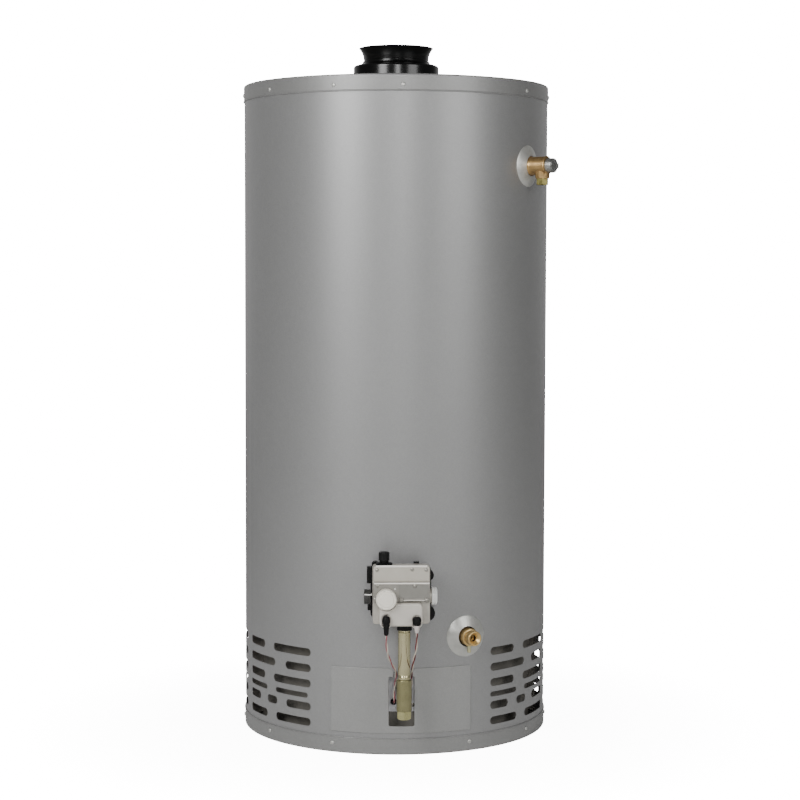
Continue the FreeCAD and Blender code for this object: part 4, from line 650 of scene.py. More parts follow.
    def combine(self, kind: str, others: Sequence["Form"]) -> "Form":
        """Applies a boolean with each of the other forms in turn.

        Args:
            kind: the boolean operation's name.
            others: the other forms.

        Returns:
            This form.
        """
        for other in others:
            shapes = [bpy.data.objects.new("blank", f.mesh()) for f in (self, other)]
            for shape in shapes:
                bpy.context.scene.collection.objects.link(shape)
            modifier = shapes[0].modifiers.new("cut", "BOOLEAN")
            modifier.operation = kind
            modifier.solver = "EXACT"
            modifier.object = shapes[1]
            graph = bpy.context.evaluated_depsgraph_get()
            result = bpy.data.meshes.new_from_object(shapes[0].evaluated_get(graph))
            self.bm.clear()
            self.bm.from_mesh(result)
            bpy.data.meshes.remove(result)
            for shape in shapes:
                mesh = shape.data
                bpy.data.objects.remove(shape)
                bpy.data.meshes.remove(mesh)
        bmesh.ops.remove_doubles(self.bm, verts=self.bm.verts, dist=1e-4)
        return self

    def slice_x(self, step: float) -> "Form":
        """Adds upright cuts across the form, evenly spaced along X, so that it can be bent.

        Args:
            step: spacing of the cuts.

        Returns:
            This form.
        """
        xs = [v.co.x for v in self.bm.verts]
        first, last = math.ceil(min(xs) / step), math.floor(max(xs) / step)
        for i in range(first, last + 1):
            geom = list(self.bm.verts) + list(self.bm.edges) + list(self.bm.faces)
            bmesh.ops.bisect_plane(self.bm, geom=geom, plane_co=(i * step, 0, 0),
                                   plane_no=(1, 0, 0), dist=1e-5)
        return self

    def bend(self, radius: float) -> "Form":
        """Rolls a flat sheet round Z: x is measured round the circle from the front, and y is depth inward.

        Args:
            radius: of the face at y = 0.

        Returns:
            This form.
        """
        for vert in self.bm.verts:
            turn = vert.co.x / radius
            reach = radius - vert.co.y
            vert.co = Vector((reach * math.sin(turn), -reach * math.cos(turn), vert.co.z))
        return self

    def piece(self, name: str, body: str, finish: Finish, slot: str = "",
              replaces: Sequence[str] = (),
              sharp: float = 32.0) -> bpy.types.Object:
        """Makes the finished object.

        Args:
            name: the piece's name.
            body: the CAD body that it rides on.
            finish: what covers it.
            slot: the record's material slot; not used.
            replaces: CAD nodes that it stands for.
            sharp: edges that turn more than this stay crisp, in degrees.

        Returns:
            The object, at the origin.
        """
        self.move(Matrix.Scale(MM, 4))
        mesh = self.mesh()
        self.bm.free()
        mesh.name = name
        mesh.shade_smooth()
        mesh.set_sharp_from_angle(angle=math.radians(sharp))
        mesh.materials.append(finish.material())
        made = bpy.data.objects.new(name, mesh)
        bpy.context.scene.collection.objects.link(made)
        evened = made.modifiers.new("even_normals", "WEIGHTED_NORMAL")
        evened.keep_sharp = True
        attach(made, body)
        if replaces:
            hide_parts(*replaces)
        LOG.info("%s on %s: %d faces", name, body, len(mesh.polygons))
        return made


def curve_points(centre: Point, radius: float, start: float, end: float, steps: int) -> list[Point]:
    """Points of a round corner of a profile.

    Args:
        centre: of the corner.
        radius: of the corner.
        start: first angle in degrees, from the profile's x.
        end: last angle.
        steps: number of gaps between points.

    Returns:
        The points.
    """
    turns = [math.radians(start + (end - start) * i / steps) for i in range(steps + 1)]
    return [(centre[0] + radius * math.cos(t), centre[1] + radius * math.sin(t)) for t in turns]


def ridged(radius: float, depth: float, low: float, high: float, pitch: float) -> list[Point]:
    """Profile of a threaded or grooved wall.

    Args:
        radius: of the crests.
        depth: of the grooves.
        low: one end.
        high: other end.
        pitch: crest to crest.

    Returns:
        The wall's points from low to high.
    """
    turns = max(1, int((high - low) / pitch))
    step = (high - low) / turns
    out: list[Point] = [(radius - depth, low)]
    for i in range(turns):
        out += [(radius, low + step * (i + 0.4)), (radius, low + step * (i + 0.6)),
                (radius - depth, low + step * (i + 1))]
    return out


@dataclass(frozen=True)
class Seat:
    """A place on the jacket where a fitting stands."""

    radius: float
    azimuth: float = 0.0
    height: float = 0.0

    def matrix(self) -> Matrix:
        """Gives the matrix from the face frame to the row frame.

        Returns:
            The matrix.
        """
        turn = Matrix.Rotation(math.radians(self.azimuth), 4, "Z")
        out = Matrix.Translation((0, -self.radius, self.height))
        return turn @ out @ Matrix.Rotation(math.radians(90), 4, "X")

    def put(self, form: Form) -> Form:
        """Moves a form from the face frame to its place."""
        return form.move(self.matrix())


RELIEF_SEAT = Seat(JACKET_RADIUS, 54.6, 1030.0)
DRAIN_SEAT = Seat(JACKET_RADIUS, 24.0, 205.5)


def lying(form: Form) -> Form:
    """Turns a form from upright to lying along +X."""
    return form.move(Matrix.Rotation(math.radians(90), 4, "Y"))


def crossways(form: Form) -> Form:
    """Turns a form from upright to lying along +Y."""
    return form.move(Matrix.Rotation(-math.pi / 2, 4, "X"))


def facing(x: float = 0.0, z: float = 0.0) -> Matrix:
    """Gives the matrix that tips an upright form to point at -Y, at a place in x and z."""
    return Matrix.Translation((x, 0, z)) @ Matrix.Rotation(math.pi / 2, 4, "X")


def cross_screw(radius: float, height: float) -> Form:
    """Round-headed screw seen from its head: dome with a cross recess, seat at z = 0.

    Args:
        radius: of the head.
        height: of the head.

    Returns:
        The head.
    """
    dome = [(0.0, 0.0), (radius, 0.0), (radius, height * 0.35), (radius * 0.92, height * 0.62),
            (radius * 0.7, height * 0.88), (radius * 0.35, height), (0.0, height)]
    head = Form.lathe(dome, 24)
    arm, half = radius * 0.55, radius * 0.12
    slots = [Form.block((-arm, -half, height * 0.45), (arm, half, height + 1)),
             Form.block((-half, -arm, height * 0.45), (half, arm, height + 1))]
    return head.cut(*slots)


# ------------------------------------------------------------------ casing
@dataclass
class Casing:
    """Jacket, pans, pan screws and door."""

    radius: float = JACKET_RADIUS
    sheet: float = 0.9
    louvre_span: float = 37.2
    louvre_left: float = 34.5
    louvre_right: float = 34.9
    louvre_pitch: float = 43.3
    panels: int = 3
    door_half: float = 25.9

    def rows(self) -> list[tuple[float, float, tuple[Point, ...]]]:
        """Louvre rows: height, slot height, and each slot's start and end in degrees.

        Returns:
            The rows from the top.
        """
        return [
            (172.2, 14.0, ((0.0, 12.4), (18.3, 37.2))), (143.8, 14.0, ((0.0, 19.2), (25.1, 37.2))),
            (116.4, 14.0, ((0.0, 12.4), (18.3, 37.2))), (95.2, 9.0, ((0.0, 14.0), (19.5, 35.9))),
            (75.4, 14.0, ((0.0, 9.1), (14.2, 20.4), (25.5, 37.2))),
            (47.8, 14.0, ((0.0, 14.2), (19.8, 37.2))),
        ]

    def arc(self, degrees: float) -> float:
        """Length round the jacket of an angle."""
        return math.radians(degrees) * self.radius

    def jacket(self) -> None:
        """Rolled sheet: flat first, pierced, its slot rims eased, then bent round and closed at the back."""
        low, high = (z / MM for z in (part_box("outer_jacket")[0].z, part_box("outer_jacket")[1].z))
        half = math.pi * self.radius
        flat = Form.block((-half, 0.0, low), (half, self.sheet, high))
        starts = [-self.louvre_left - self.louvre_span - self.louvre_pitch * i for i in range(self.panels)]
        starts += [self.louvre_right + self.louvre_pitch * i for i in range(self.panels)]
        holes = Form()
        for start in starts:
            for height, tall, slots in self.rows():
                for left, right in slots:
                    x0, x1 = self.arc(start + left), self.arc(start + right)
                    hole = Form.block((x0, -tall / 2, -9.0), (x1, tall / 2, 9.0), tall / 2 - 0.01,
                                      8)
                    holes.add(hole.move(facing(z=height)))
        for seat in (RELIEF_SEAT, DRAIN_SEAT):
            hole = Form.rod(21.0, -9.0, 9.0)
            holes.add(hole.move(facing(self.arc(seat.azimuth), seat.height)))
        shank = Form.rod(21.5, -9.0, 9.0)
        holes.add(shank.move(facing(z=292.0)))
        port = self.arc(19.0)
        holes.add(Form.block((-port, -9.0, 47.2), (port, 9.0, 145.5)))
        flat.cut(holes)
        flat.soften(0.35, 2, 50.0,
                    lambda p: p.y < 0.01 and low + 1 < p.z < high - 1 and abs(p.x) < half - 1)
        flat.slice_x(self.arc(1.5)).bend(self.radius).tidy()
        flat.piece("rolled_jacket", "heater", JACKET, "jacket_paint", ["outer_jacket"], 30.0)
        seam = Form.block((-self.arc(0.9), -0.8, 33.0), (self.arc(0.9), 0.4, 1149.0)).soften(0.5, 2)
        seam.slice_x(2.0).bend(self.radius).move(Matrix.Rotation(math.pi, 4, "Z"))
        seam.piece("jacket_lock_seam", "heater", JACKET, "jacket_paint")

    def pan_profile(self) -> list[Point]:
        """Outline of a pressed pan's sheet with a round corner, two pressed rings and a rolled bead.

        Returns:
            The closed outline, floor down.
        """
        out, sheet, corner, bead, rim = self.radius + 1.15, 1.0, 3.5, 0.9, 29.6
        floor: list[Point] = [(62.0, 0.0)]
        for ring in (96.0, 205.0):
            floor += [(ring, 0.0), (ring + 1.2, 0.55), (ring + 9.0, 0.55), (ring + 10.2, 0.0)]
        points = floor + curve_points((out - corner, corner), corner, -90, 0, 6)
        points += [(out, rim - 2 * bead - 1.6), (out - 0.25, rim - 2 * bead - 0.3)]
        points += curve_points((out, rim - bead), bead, -90, 90, 6)
        points += [(out - sheet, rim), (out - sheet, corner)]
        points += curve_points((out - corner, corner), corner - sheet, 0, -90, 4)
        return points + [(62.0, sheet)]

    def pans(self) -> None:
        """Base pan and top pan."""
        base = [(0.0, 0.0)] + self.pan_profile() + [(0.0, 1.0)]
        Form.lathe(base, 240).piece("pressed_base_pan", "heater", PAN, "pan_paint", ["base_pan"])
        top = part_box("top_pan")[1].z / MM
        lid = Form.lathe(self.pan_profile(), 240, closed=True)
        lid.move(Matrix.Translation((0, 0, top)) @ Matrix.Rotation(math.pi, 4, "X"))
        ports = Form()
        for x in (-101.6, 101.6):
            ports.add(Form.rod(15.7, top - 9, top + 4, (x, 60.0)))
        ports.add(Form.rod(18.5, top - 9, top + 4, (0.0, 150.0)))
        lid.cut(ports)
        lid.piece("pressed_top_pan", "heater", PAN, "pan_paint", ["top_pan"])

    def pan_screw(self) -> Form:
        """Round-headed sheet metal screw with a short shank, its seat at z = 0."""
        return cross_screw(3.6, 2.2).add(Form.rod(1.75, -3.0, 0.1, sides=12))

    def screws(self) -> None:
        """Screws round both pans, each turned a little differently."""
        seat = self.radius + 1.15
        top_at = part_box("top_pan_screws")
        base_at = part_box("base_pan_screws")
        top_z, base_z = ((box[0].z + box[1].z) / 2 / MM for box in (top_at, base_at))
        sides = [25.5 + 30.0 * i for i in range(5)]
        sets = (
            ("top_pan_screw_heads", "top_pan_screws", top_z,
             [-145, -115, -85, -55, -25, 0, 53, 85, 115, 145, 180]),
            ("base_pan_screw_heads", "base_pan_screws", base_z,
             [s * a for a in sides for s in (-1, 1)]),
        )
        for name, node, height, azimuths in sets:
            whole = Form()
            for i, azimuth in enumerate(azimuths):
                head = self.pan_screw().move(Matrix.Rotation(i * 0.77, 4, "Z"))
                whole.add(Seat(seat, azimuth, height).put(head))
            whole.piece(name, "heater", SCREW_ZINC, "pan_screw_zinc", [node])

    def door(self) -> None:
        """Curved door: a sheet with rounded edges, slotted for the gas feed, and its spring tongues."""
        low_box, high_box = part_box("outer_door")
        low, high = low_box.z / MM, high_box.z / MM
        inner, sheet = self.radius + 0.7, 1.1
        outer = inner + sheet
        half = math.radians(self.door_half) * outer
        plate = Form.block((-half, 0.0, low), (half, sheet, high))
        slot = Form.block((-22.5, 51.2, -9.0), (22.5, 138.5, 9.0), 3.0, 4)
        neck = Form.block((-14.0, 134.0, -9.0), (18.0, 160.0, 9.0))
        funnel = Form.block((-23.0, 153.5 - 9.0, -9.0), (27.0, 170.0, 9.0))
        funnel.cut(Form.rod(9.0, -10.0, 10.0, (-23.0, 144.5)),
                   Form.rod(9.0, -10.0, 10.0, (27.0, 144.5)))
        for tool in (slot, neck, funnel):
            plate.cut(tool.move(facing()))
        plate.soften(0.7, 3, 50.0, lambda p: p.y < 0.01)
        plate.slice_x(5.0).bend(outer)
        middle, fall = (low + high) / 2, self.radius - math.sqrt(inner ** 2 - 78.0 ** 2)
        for side in (-1, 1):
            tongue = Form.block((side * 78.0 - 0.6, -self.radius + fall - 0.4, middle - 22.0),
                                (side * 78.0 + 0.6, -self.radius + fall + 9.0,
                                 middle + 22.0)).soften(0.3, 1)
            plate.add(tongue)
        plate.piece("slotted_door", "door", DOOR, "door_paint", ["outer_door"])

    def build(self) -> None:
        """Makes every piece of the casing."""
        self.jacket()
        self.pans()
        self.screws()
        self.door()


# ------------------------------------------------------------------ top of the heater
@dataclass
class VentMouth:
    """Stepped collar and flared mouth, spun from sheet."""

    base: float = 79.0
    neck: float = 59.4
    lip: float = 68.3
    bore: float = 51.6

    def build(self) -> None:
        """Makes the collar and the mouth."""
        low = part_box("vent_collar")[0].z / MM
        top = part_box("vent_flare")[1].z / MM
        shoulder = low + 39.6
        r, sheet = self.base, 1.5
        outer: list[Point] = [(r, low), (r, low + 1.2), (r - 0.5, low + 2.0),
                              (r - 0.5, shoulder - 6.0)]
        outer += curve_points((r - 5.5, shoulder - 5.0), 5.0, 0, 78, 8)
        outer += [(self.neck + 6.0, shoulder + 2.6), (self.neck + 2.6, shoulder + 4.6),
                  (self.neck + 1.9, shoulder + 7.4)]
        inner = [(self.neck + 0.5, shoulder + 7.4), (self.neck + 1.1, shoulder + 3.8),
                 (r - 6.5, shoulder - sheet - 0.6), (r - sheet - 0.6, shoulder - 7.0),
                 (r - sheet - 0.5, low)]
        collar = Form.lathe(outer + inner, 160, closed=True)
        collar.piece("vent_collar_spun", "heater", VENT_BLACK, "vent_black", ["vent_collar"], 40.0)
        neck, lip = self.neck, self.lip
        wall: list[Point] = [(self.bore, low + 11.0), (neck - 4.0, low + 11.0),
                             (neck - 4.0, low + 43.0), (neck, low + 45.4)]
        wall += [(neck + 0.2, low + 47.4), (neck - 0.3, low + 48.4), (neck + 0.2, low + 49.4),
                 (neck + 0.6, low + 53.0)]
        wall += [(neck + 1.5, low + 58.0), (neck + 3.4, low + 63.0), (neck + 6.0, low + 67.6),
                 (lip - 0.6, low + 70.6)]
        wall += curve_points((lip - 0.9, low + 71.2), 0.9, -40, 140, 6)
        wall += [(lip - 4.0, low + 68.6), (neck - 0.6, low + 63.4), (neck - 4.2, low + 57.0),
                 (self.bore + 0.4, low + 52.4), (self.bore, low + 51.0)]
        mouth = Form.lathe([(x, min(z, top)) for x, z in wall], 160, closed=True)
        mouth.piece("vent_mouth_spun", "heater", VENT_BLACK, "vent_black", ["vent_flare"], 40.0)


@dataclass
class TopFittings:
    """Threaded nipples that stand in the lid."""

    nipple: float = 13.3
    bore: float = 10.4

    def build(self) -> None:
        """Makes the two nipples with their threads."""
        low, high = (v.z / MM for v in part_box("water_nipples"))
        for name, side in (("hot_nipple", -1), ("cold_nipple", 1)):
            wall: list[Point] = [(self.bore, low), (self.nipple - 0.2, low),
                                 (self.nipple - 0.2, high - 21.0)]
            wall += ridged(self.nipple, 1.0, high - 20.0, high - 1.4, 1.8)
            wall += [(self.nipple - 1.6, high), (self.bore + 0.5, high), (self.bore, high - 0.6)]
            form = Form.lathe(wall, 48, closed=True).shift(side * 101.6, 60.0)
            replaced = ["water_nipples"] if side < 0 else []
            form.piece(name, "heater", NIPPLE_ZINC, "nipple_zinc", replaced, 50.0)


# ------------------------------------------------------------------ gas control
@dataclass
class GasControl:
    """The gas control on the front: casting, covers, dial, knob, caps and boots."""

    left: float = -52.5
    right: float = 45.2
    low: float = 243.0
    high: float = 342.6
    middle: float = 36.0
    face: float = 66.0
    ledge: float = 314.6
    ridge: float = 285.3
    dial: Point = (-30.5, 288.7)
    seat: Seat = Seat(JACKET_RADIUS)

    def show(self, form: Form, name: str, body: str, finish: Finish, slot: str = "",
             replaces: Sequence[str] = ()) -> None:
        """Seats a form on the front of the jacket and makes the piece."""
        self.seat.put(form).piece(name, body, finish, slot, replaces)

    def casting(self) -> None:
        """Die casting with eased corners, inlet boss, outlet boss and knob collar."""
        body = Form.block((self.left, self.low, self.middle), (self.right, self.high, self.face))
        for radius, where in ((5.5, lambda y: y > 300), (5.0, lambda y: y < 250)):
            body.round([e for e in body.bm.edges if where(e.verts[0].co.y)
                        and abs(e.verts[0].co.z - e.verts[1].co.z) > 1], radius, 5)
        body.soften(1.8, 3, 40.0, lambda p: p.z > self.face - 0.1)
        body.soften(0.8, 2, 40.0, lambda p: p.z < self.middle + 0.1)
        ribs = [Form.block((x, self.low + 0.6, 40.0), (x + 1.6, self.low + 12.0, 63.0)).soften(0.4, 1)
                for x in (-38.0, -30.0, 24.0, 31.0)]
        boss = lying(Form.lathe([(0.0, 40.0), (12.6, 40.0), (12.6, 55.0), (11.6, 56.0), (9.3, 56.0),
                                 (9.3, 44.0), (0.0, 44.0)], 48)).shift(0, 287.7, 42.0)
        body.add(boss, *ribs)
        self.show(body, "control_casting", "heater", CASTING, "casting_grey", ["valve_casting"])
        outlet = Form.lathe([(10.8, 241.8), (14.0, 241.8), (14.5, 242.4), (14.5, 248.0),
                             (10.8, 248.0)], 48, closed=True)
        outlet.shift(*FEED_AT).piece("control_outlet_boss", "heater", CASTING, "casting_grey")
        collar: list[Point] = [(4.1, 342.5), (13.4, 342.5), (14.2, 343.3), (14.2, 345.4),
                               (13.2, 346.6), (9.4, 347.2), (7.6, 347.2), (7.6, 351.3),
                               (4.1, 351.3)]
        ring = Form.lathe(collar, 48, closed=True).shift(*KNOB_AT)
        ring.piece("knob_collar", "heater", BLACK_PLASTIC, "housing_black")

    def covers(self) -> None:
        """Upper cover, middle cover with its blank panel, and the bulging lower cover."""
        x0, x1 = self.left + 0.8, self.right - 0.8
        upper = Form.block((x0, self.ledge + 0.4, self.face),
                           (x1, self.high + 1.0, self.face + 4.5), 5.0, 5)
        upper.soften(2.0, 3, 40.0, lambda p: p.z > self.face + 4.4)
        self.show(upper, "control_upper_cover", "heater", COVER, "cover_grey",
                  ["valve_upper_cover"])
        front = self.face + 11.0
        middle = Form.block((x0, 281.5, self.face), (x1, self.ledge, front), 2.0, 3)
        step = Form.block((self.dial[0] + 22.0, 270.0, self.face - 1),
                          (x1 + 5, self.ridge, front + 1))
        middle.cut(step)
        middle.soften(1.5, 3, 40.0, lambda p: p.z > front - 0.1)
        panel = Form.block((self.dial[0] + 21.5, self.ridge + 3.2, front - 0.7),
                           (x1 - 2.4, self.ledge - 2.6, front + 2), 1.6, 3)
        middle.cut(panel)
        for x, y in ((-4.3, 286.2), (38.9, 286.0)):
            lug = Form.rod(4.9, self.face, front + 0.2, (x, y))
            ring = Form.lathe([(3.6, 0.0), (4.3, 0.0), (4.3, 3.0), (3.6, 3.0)], 32,
                              closed=True).shift(x, y, front - 0.8)
            middle.cut(Form.rod(4.6, self.face, front + 2, (x, y))).add(lug.cut(ring))
        self.show(middle, "control_middle_cover", "heater", LABEL_COVER, "label_cover_grey",
                  ["valve_label_cover"])
        film = Form.block((self.dial[0] + 22.0, self.ridge + 3.7, front - 0.75),
                          (x1 - 2.9, self.ledge - 3.1, front - 0.45),
                          1.4, 3)
        self.show(film, "control_blank_panel", "heater", LABEL_PANEL)
        # The ridges are drawn in a much lighter colour than the covers: a painted highlight for the light
        # they catch from above.
        ridges = (
            ("top_ridge", x0 + 4.0, self.high - 1.6, self.face + 5.6, 3.6),
            ("upper_ledge", x0 + 1.0, self.ledge - 1.4, front + 1.2, 2.8),
            ("lower_ridge", self.dial[0] + 30.0, self.ridge - 0.4, front + 0.5, 1.3),
        )
        for name, left, low, out, tall in ridges:
            right = x1 - (left - x0) if name != "lower_ridge" else x1 - 5.0
            ridge = Form.block((left, low, out - 3.4), (right, low + tall, out)).soften(tall * 0.42, 4)
            self.show(ridge, "control_" + name, "heater", RIDGE_PAINTED_HIGHLIGHT)
        bulge = Form.block((-42.0, 241.2, self.face), (32.0, 281.0, self.face + 16.0), 8.0, 6)
        bulge.soften(3.6, 4, 40.0, lambda p: p.z > self.face + 15.9)
        well = Form.rod(20.8, front - 0.5, self.face + 30, self.dial, 64)
        sockets = [Form.rod(8.2, self.face + 12.5, self.face + 30, (-30.5, 255.0)),
                   Form.rod(8.4, self.face + 12.5, self.face + 30, (21.5, 253.2)),
                   Form.block((-38.0, 230.0, self.face + 12.5), (-23.0, 254.0, self.face + 30)),
                   Form.block((14.0, 230.0, self.face + 12.5), (29.0, 251.0, self.face + 30))]
        bulge.cut(well, *sockets)
        bulge.soften(0.9, 2, 50.0, lambda p: p.z > self.face + 15.9 and p.y < 268)
        self.show(bulge, "control_lower_cover", "heater", LOWER_COVER, "lower_cover_grey",
                  ["valve_lower_cover"])
        # The socket rims take the same painted highlight as the ridges.
        rims = Form()
        for x, y in ((-30.5, 247.6), (21.5, 247.6)):
            rim = Form.lathe([(8.4, 0.0), (9.9, 0.0), (9.9, 14.2), (9.4, 15.0), (8.9, 15.0),
                              (8.4, 14.2)], 48, closed=True)
            rim.cut(Form.block((-12.0, -1.0, -2.0), (12.0, 12.0, 20.0)))
            rims.add(rim.shift(x, y, self.face + 0.5))
        self.show(rims, "control_socket_rims", "heater", RIDGE_PAINTED_HIGHLIGHT)

    def screws(self) -> None:
        """Cover screws."""
        whole = Form()
        upper, label = self.face + 4.5, self.face + 11.0
        places = ((-45.5, 336.8, upper, 3.0), (14.2, 337.6, upper, 3.0), (38.0, 336.8, upper, 3.0),
                  (-45.0, 310.6, label, 3.0), (18.5, 310.6, label, 3.0), (-4.3, 286.2, label, 3.4),
                  (38.9, 286.0, label, 3.4))
        for x, y, seat, radius in places:
            place = Matrix.Translation((x, y, seat)) @ Matrix.Rotation(x, 4, "Z")
            whole.add(cross_screw(radius, 1.8).move(place))
        self.show(whole, "control_cover_screws", "heater", COVER_SCREW, "cover_screw_steel",
                  ["valve_cover_screws"])

    def dial_parts(self) -> None:
        """Temperature dial with a grooved grip, a raised face and plain marks, and its two pointers."""
        low, high = (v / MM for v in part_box("temperature_dial"))
        back, front = -high.y - JACKET_RADIUS, -low.y - JACKET_RADIUS
        back, front = max(back, 77.4), front
        profile: list[Point] = [(0.0, back), (16.8, back), (17.5, back + 0.8), (17.5, front - 3.2),
                                (17.2, front - 1.9), (16.4, front - 1.0), (14.2, front - 0.8),
                                (13.6, front - 1.3), (12.9, front - 1.3), (12.3, front - 0.3),
                                (11.8, front), (0.0, front)]
        knob = Form.lathe(profile, 96)
        groove = Form.rod(0.6, back - 1, front - 4.2, (17.9, 0.0), 10)
        knob.cut(groove.ring_of(36))
        self.show(knob.shift(*self.dial), "dial_knob", "dial", DIAL_WHITE, "dial_plastic",
                  ["temperature_dial"])
        mark = Form.block((14.5, -1.9, front - 1.5), (15.6, 1.9, front - 0.9))
        ticks = mark.ring_of(8, math.radians(15)).shift(*self.dial)
        self.show(ticks, "dial_marks", "dial", MARK_GREY)
        pointer = Form.rod(2.1, self.face + 10.9, self.face + 11.25,
                           sides=3).move(Matrix.Rotation(math.radians(105), 4, "Z"))
        dot = Form.rod(1.0, self.face + 10.9, self.face + 11.25, (-49.8, 289.0), 16)
        self.show(pointer.shift(-15.4, 305.4).add(dot), "dial_pointers", "heater", MARK_WHITE)

    def knob_parts(self) -> None:
        """Gas knob: fluted, with a dished crown."""
        low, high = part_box("gas_knob")
        bottom, top = low.z / MM, high.z / MM
        profile: list[Point] = [(8.2, bottom), (9.3, bottom), (9.3, bottom + 1.4),
                                (9.1, bottom + 1.9), (9.2, top - 2.4), (8.8, top - 1.4),
                                (7.8, top - 0.7), (5.0, top - 0.15), (0.0, top),
                                (0.0, bottom + 5.0), (8.2, bottom + 5.0)]
        knob = Form.lathe(profile, 72)
        flute = Form.rod(0.8, bottom + 2.4, top + 2, (9.6, 0.0), 10)
        knob.cut(flute.ring_of(18))
        pointer = Form.block((-0.6, -7.4, top - 1.4), (0.6, -2.0, top - 0.05)).soften(0.3, 1)
        knob.add(pointer)
        knob.shift(*KNOB_AT).piece("fluted_gas_knob", "knob", KNOB_PLASTIC, "knob_plastic",
                                   ["gas_knob"])

    def caps(self) -> None:
        """White inlet protector and the capped port on the other side."""
        cup: list[Point] = [(12.7, 49.0), (15.0, 49.0), (15.5, 49.5), (15.5, 51.2), (14.4, 51.8),
                            (14.4, 56.6), (13.6, 57.9), (12.2, 58.5), (6.0, 58.5), (5.4, 58.1),
                            (0.0, 58.1), (0.0, 56.1), (12.7, 56.1)]
        rib = Form.block((13.9, -0.6, 51.6), (14.9, 0.6, 57.2))
        cap = lying(Form.lathe(cup, 64).add(rib.ring_of(16))).shift(0, 287.7, 42.0)
        self.show(cap, "inlet_protector", "heater", CAP_WHITE, "cap_white", ["inlet_cap"])
        edge = 56.1
        port: list[Point] = [(0.0, edge), (12.2, edge), (12.7, edge + 0.6), (12.7, edge + 2.6),
                             (12.1, edge + 3.1), (12.1, edge + 3.9), (12.7, edge + 4.4),
                             (12.7, edge + 9.6), (11.8, edge + 10.8), (8.0, edge + 10.8),
                             (7.4, edge + 10.0), (0.0, edge + 10.0)]
        flat = Form.lathe(port, 64).move(Matrix.Rotation(math.pi, 4, "Y"))
        body = lying(flat).shift(0, 286.6, 42.0)
        low, high = (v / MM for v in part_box("port_fitting"))
        xs = [v.co.x for v in body.bm.verts]
        body.shift(x=low.x - min(xs))
        self.show(body, "side_port_cap", "heater", PORT_PLASTIC, "port_plastic", ["port_fitting"])
        band = Form.block((low.x + 0.4, 290.6, 41.5), (high.x - 1.2, 292.8, 54.2)).soften(0.4, 1)
        self.show(band, "side_port_tab", "heater", CAP_WHITE)

    def boots(self) -> None:
        """Rubber boots over the leads' plugs."""
        off = -(JACKET_RADIUS + 89.5)
        z = 254.5
        left: list[Point] = [(0.0, z + 7), (3.4, z + 6.6), (5.6, z + 4.6), (6.5, z + 1.5),
                             (6.7, z - 2), (6.3, z - 5.5), (5.4, z - 8.5), (5.7, z - 9.3),
                             (5.7, z - 10.6), (5.1, z - 11.2), (4.9, z - 13.0), (5.1, z - 13.7),
                             (4.7, z - 15.2), (4.2, z - 18.0), (4.0, z - 24.0), (3.2, z - 26.5),
                             (0.0, z - 26.5)]
        boot = Form.lathe(left, 40).shift(-30.5, off)
        pin = self.seat.put(Form.rod(5.0, 75.5, 88.0, (-30.5, z + 1)))
        boot.add(pin).piece("left_boot", "heater", RUBBER, "boot_rubber", ["lead_plugs"])
        z = 252.6
        head: list[Point] = [(0.0, z + 7), (4.6, z + 6.7), (6.6, z + 5.4), (7.2, z + 2.5),
                             (7.3, z - 3.5), (6.6, z - 6.6), (5.0, z - 8.2), (0.0, z - 8.2)]
        cone: list[Point] = [(0.0, z - 7.0), (4.9, z - 7.4), (5.0, z - 9.5), (4.3, z - 13.5),
                             (3.6, z - 17.5), (2.8, z - 20.2), (2.2, z - 21.0), (0.0, z - 21.0)]
        plug = Form.lathe(head, 40).shift(21.5, off)
        plug.add(self.seat.put(Form.rod(5.0, 75.5, 88.0, (21.5, z))))
        plug.piece("right_boot", "heater", RUBBER, "boot_rubber")
        Form.lathe(cone, 40).shift(21.5, off).piece("right_boot_cone", "heater", CLEAR_BOOT)

    def build(self) -> None:
        """Makes every piece of the gas control."""
        self.casting()
        self.covers()
        self.screws()
        self.dial_parts()
        self.knob_parts()
        self.caps()
        self.boots()


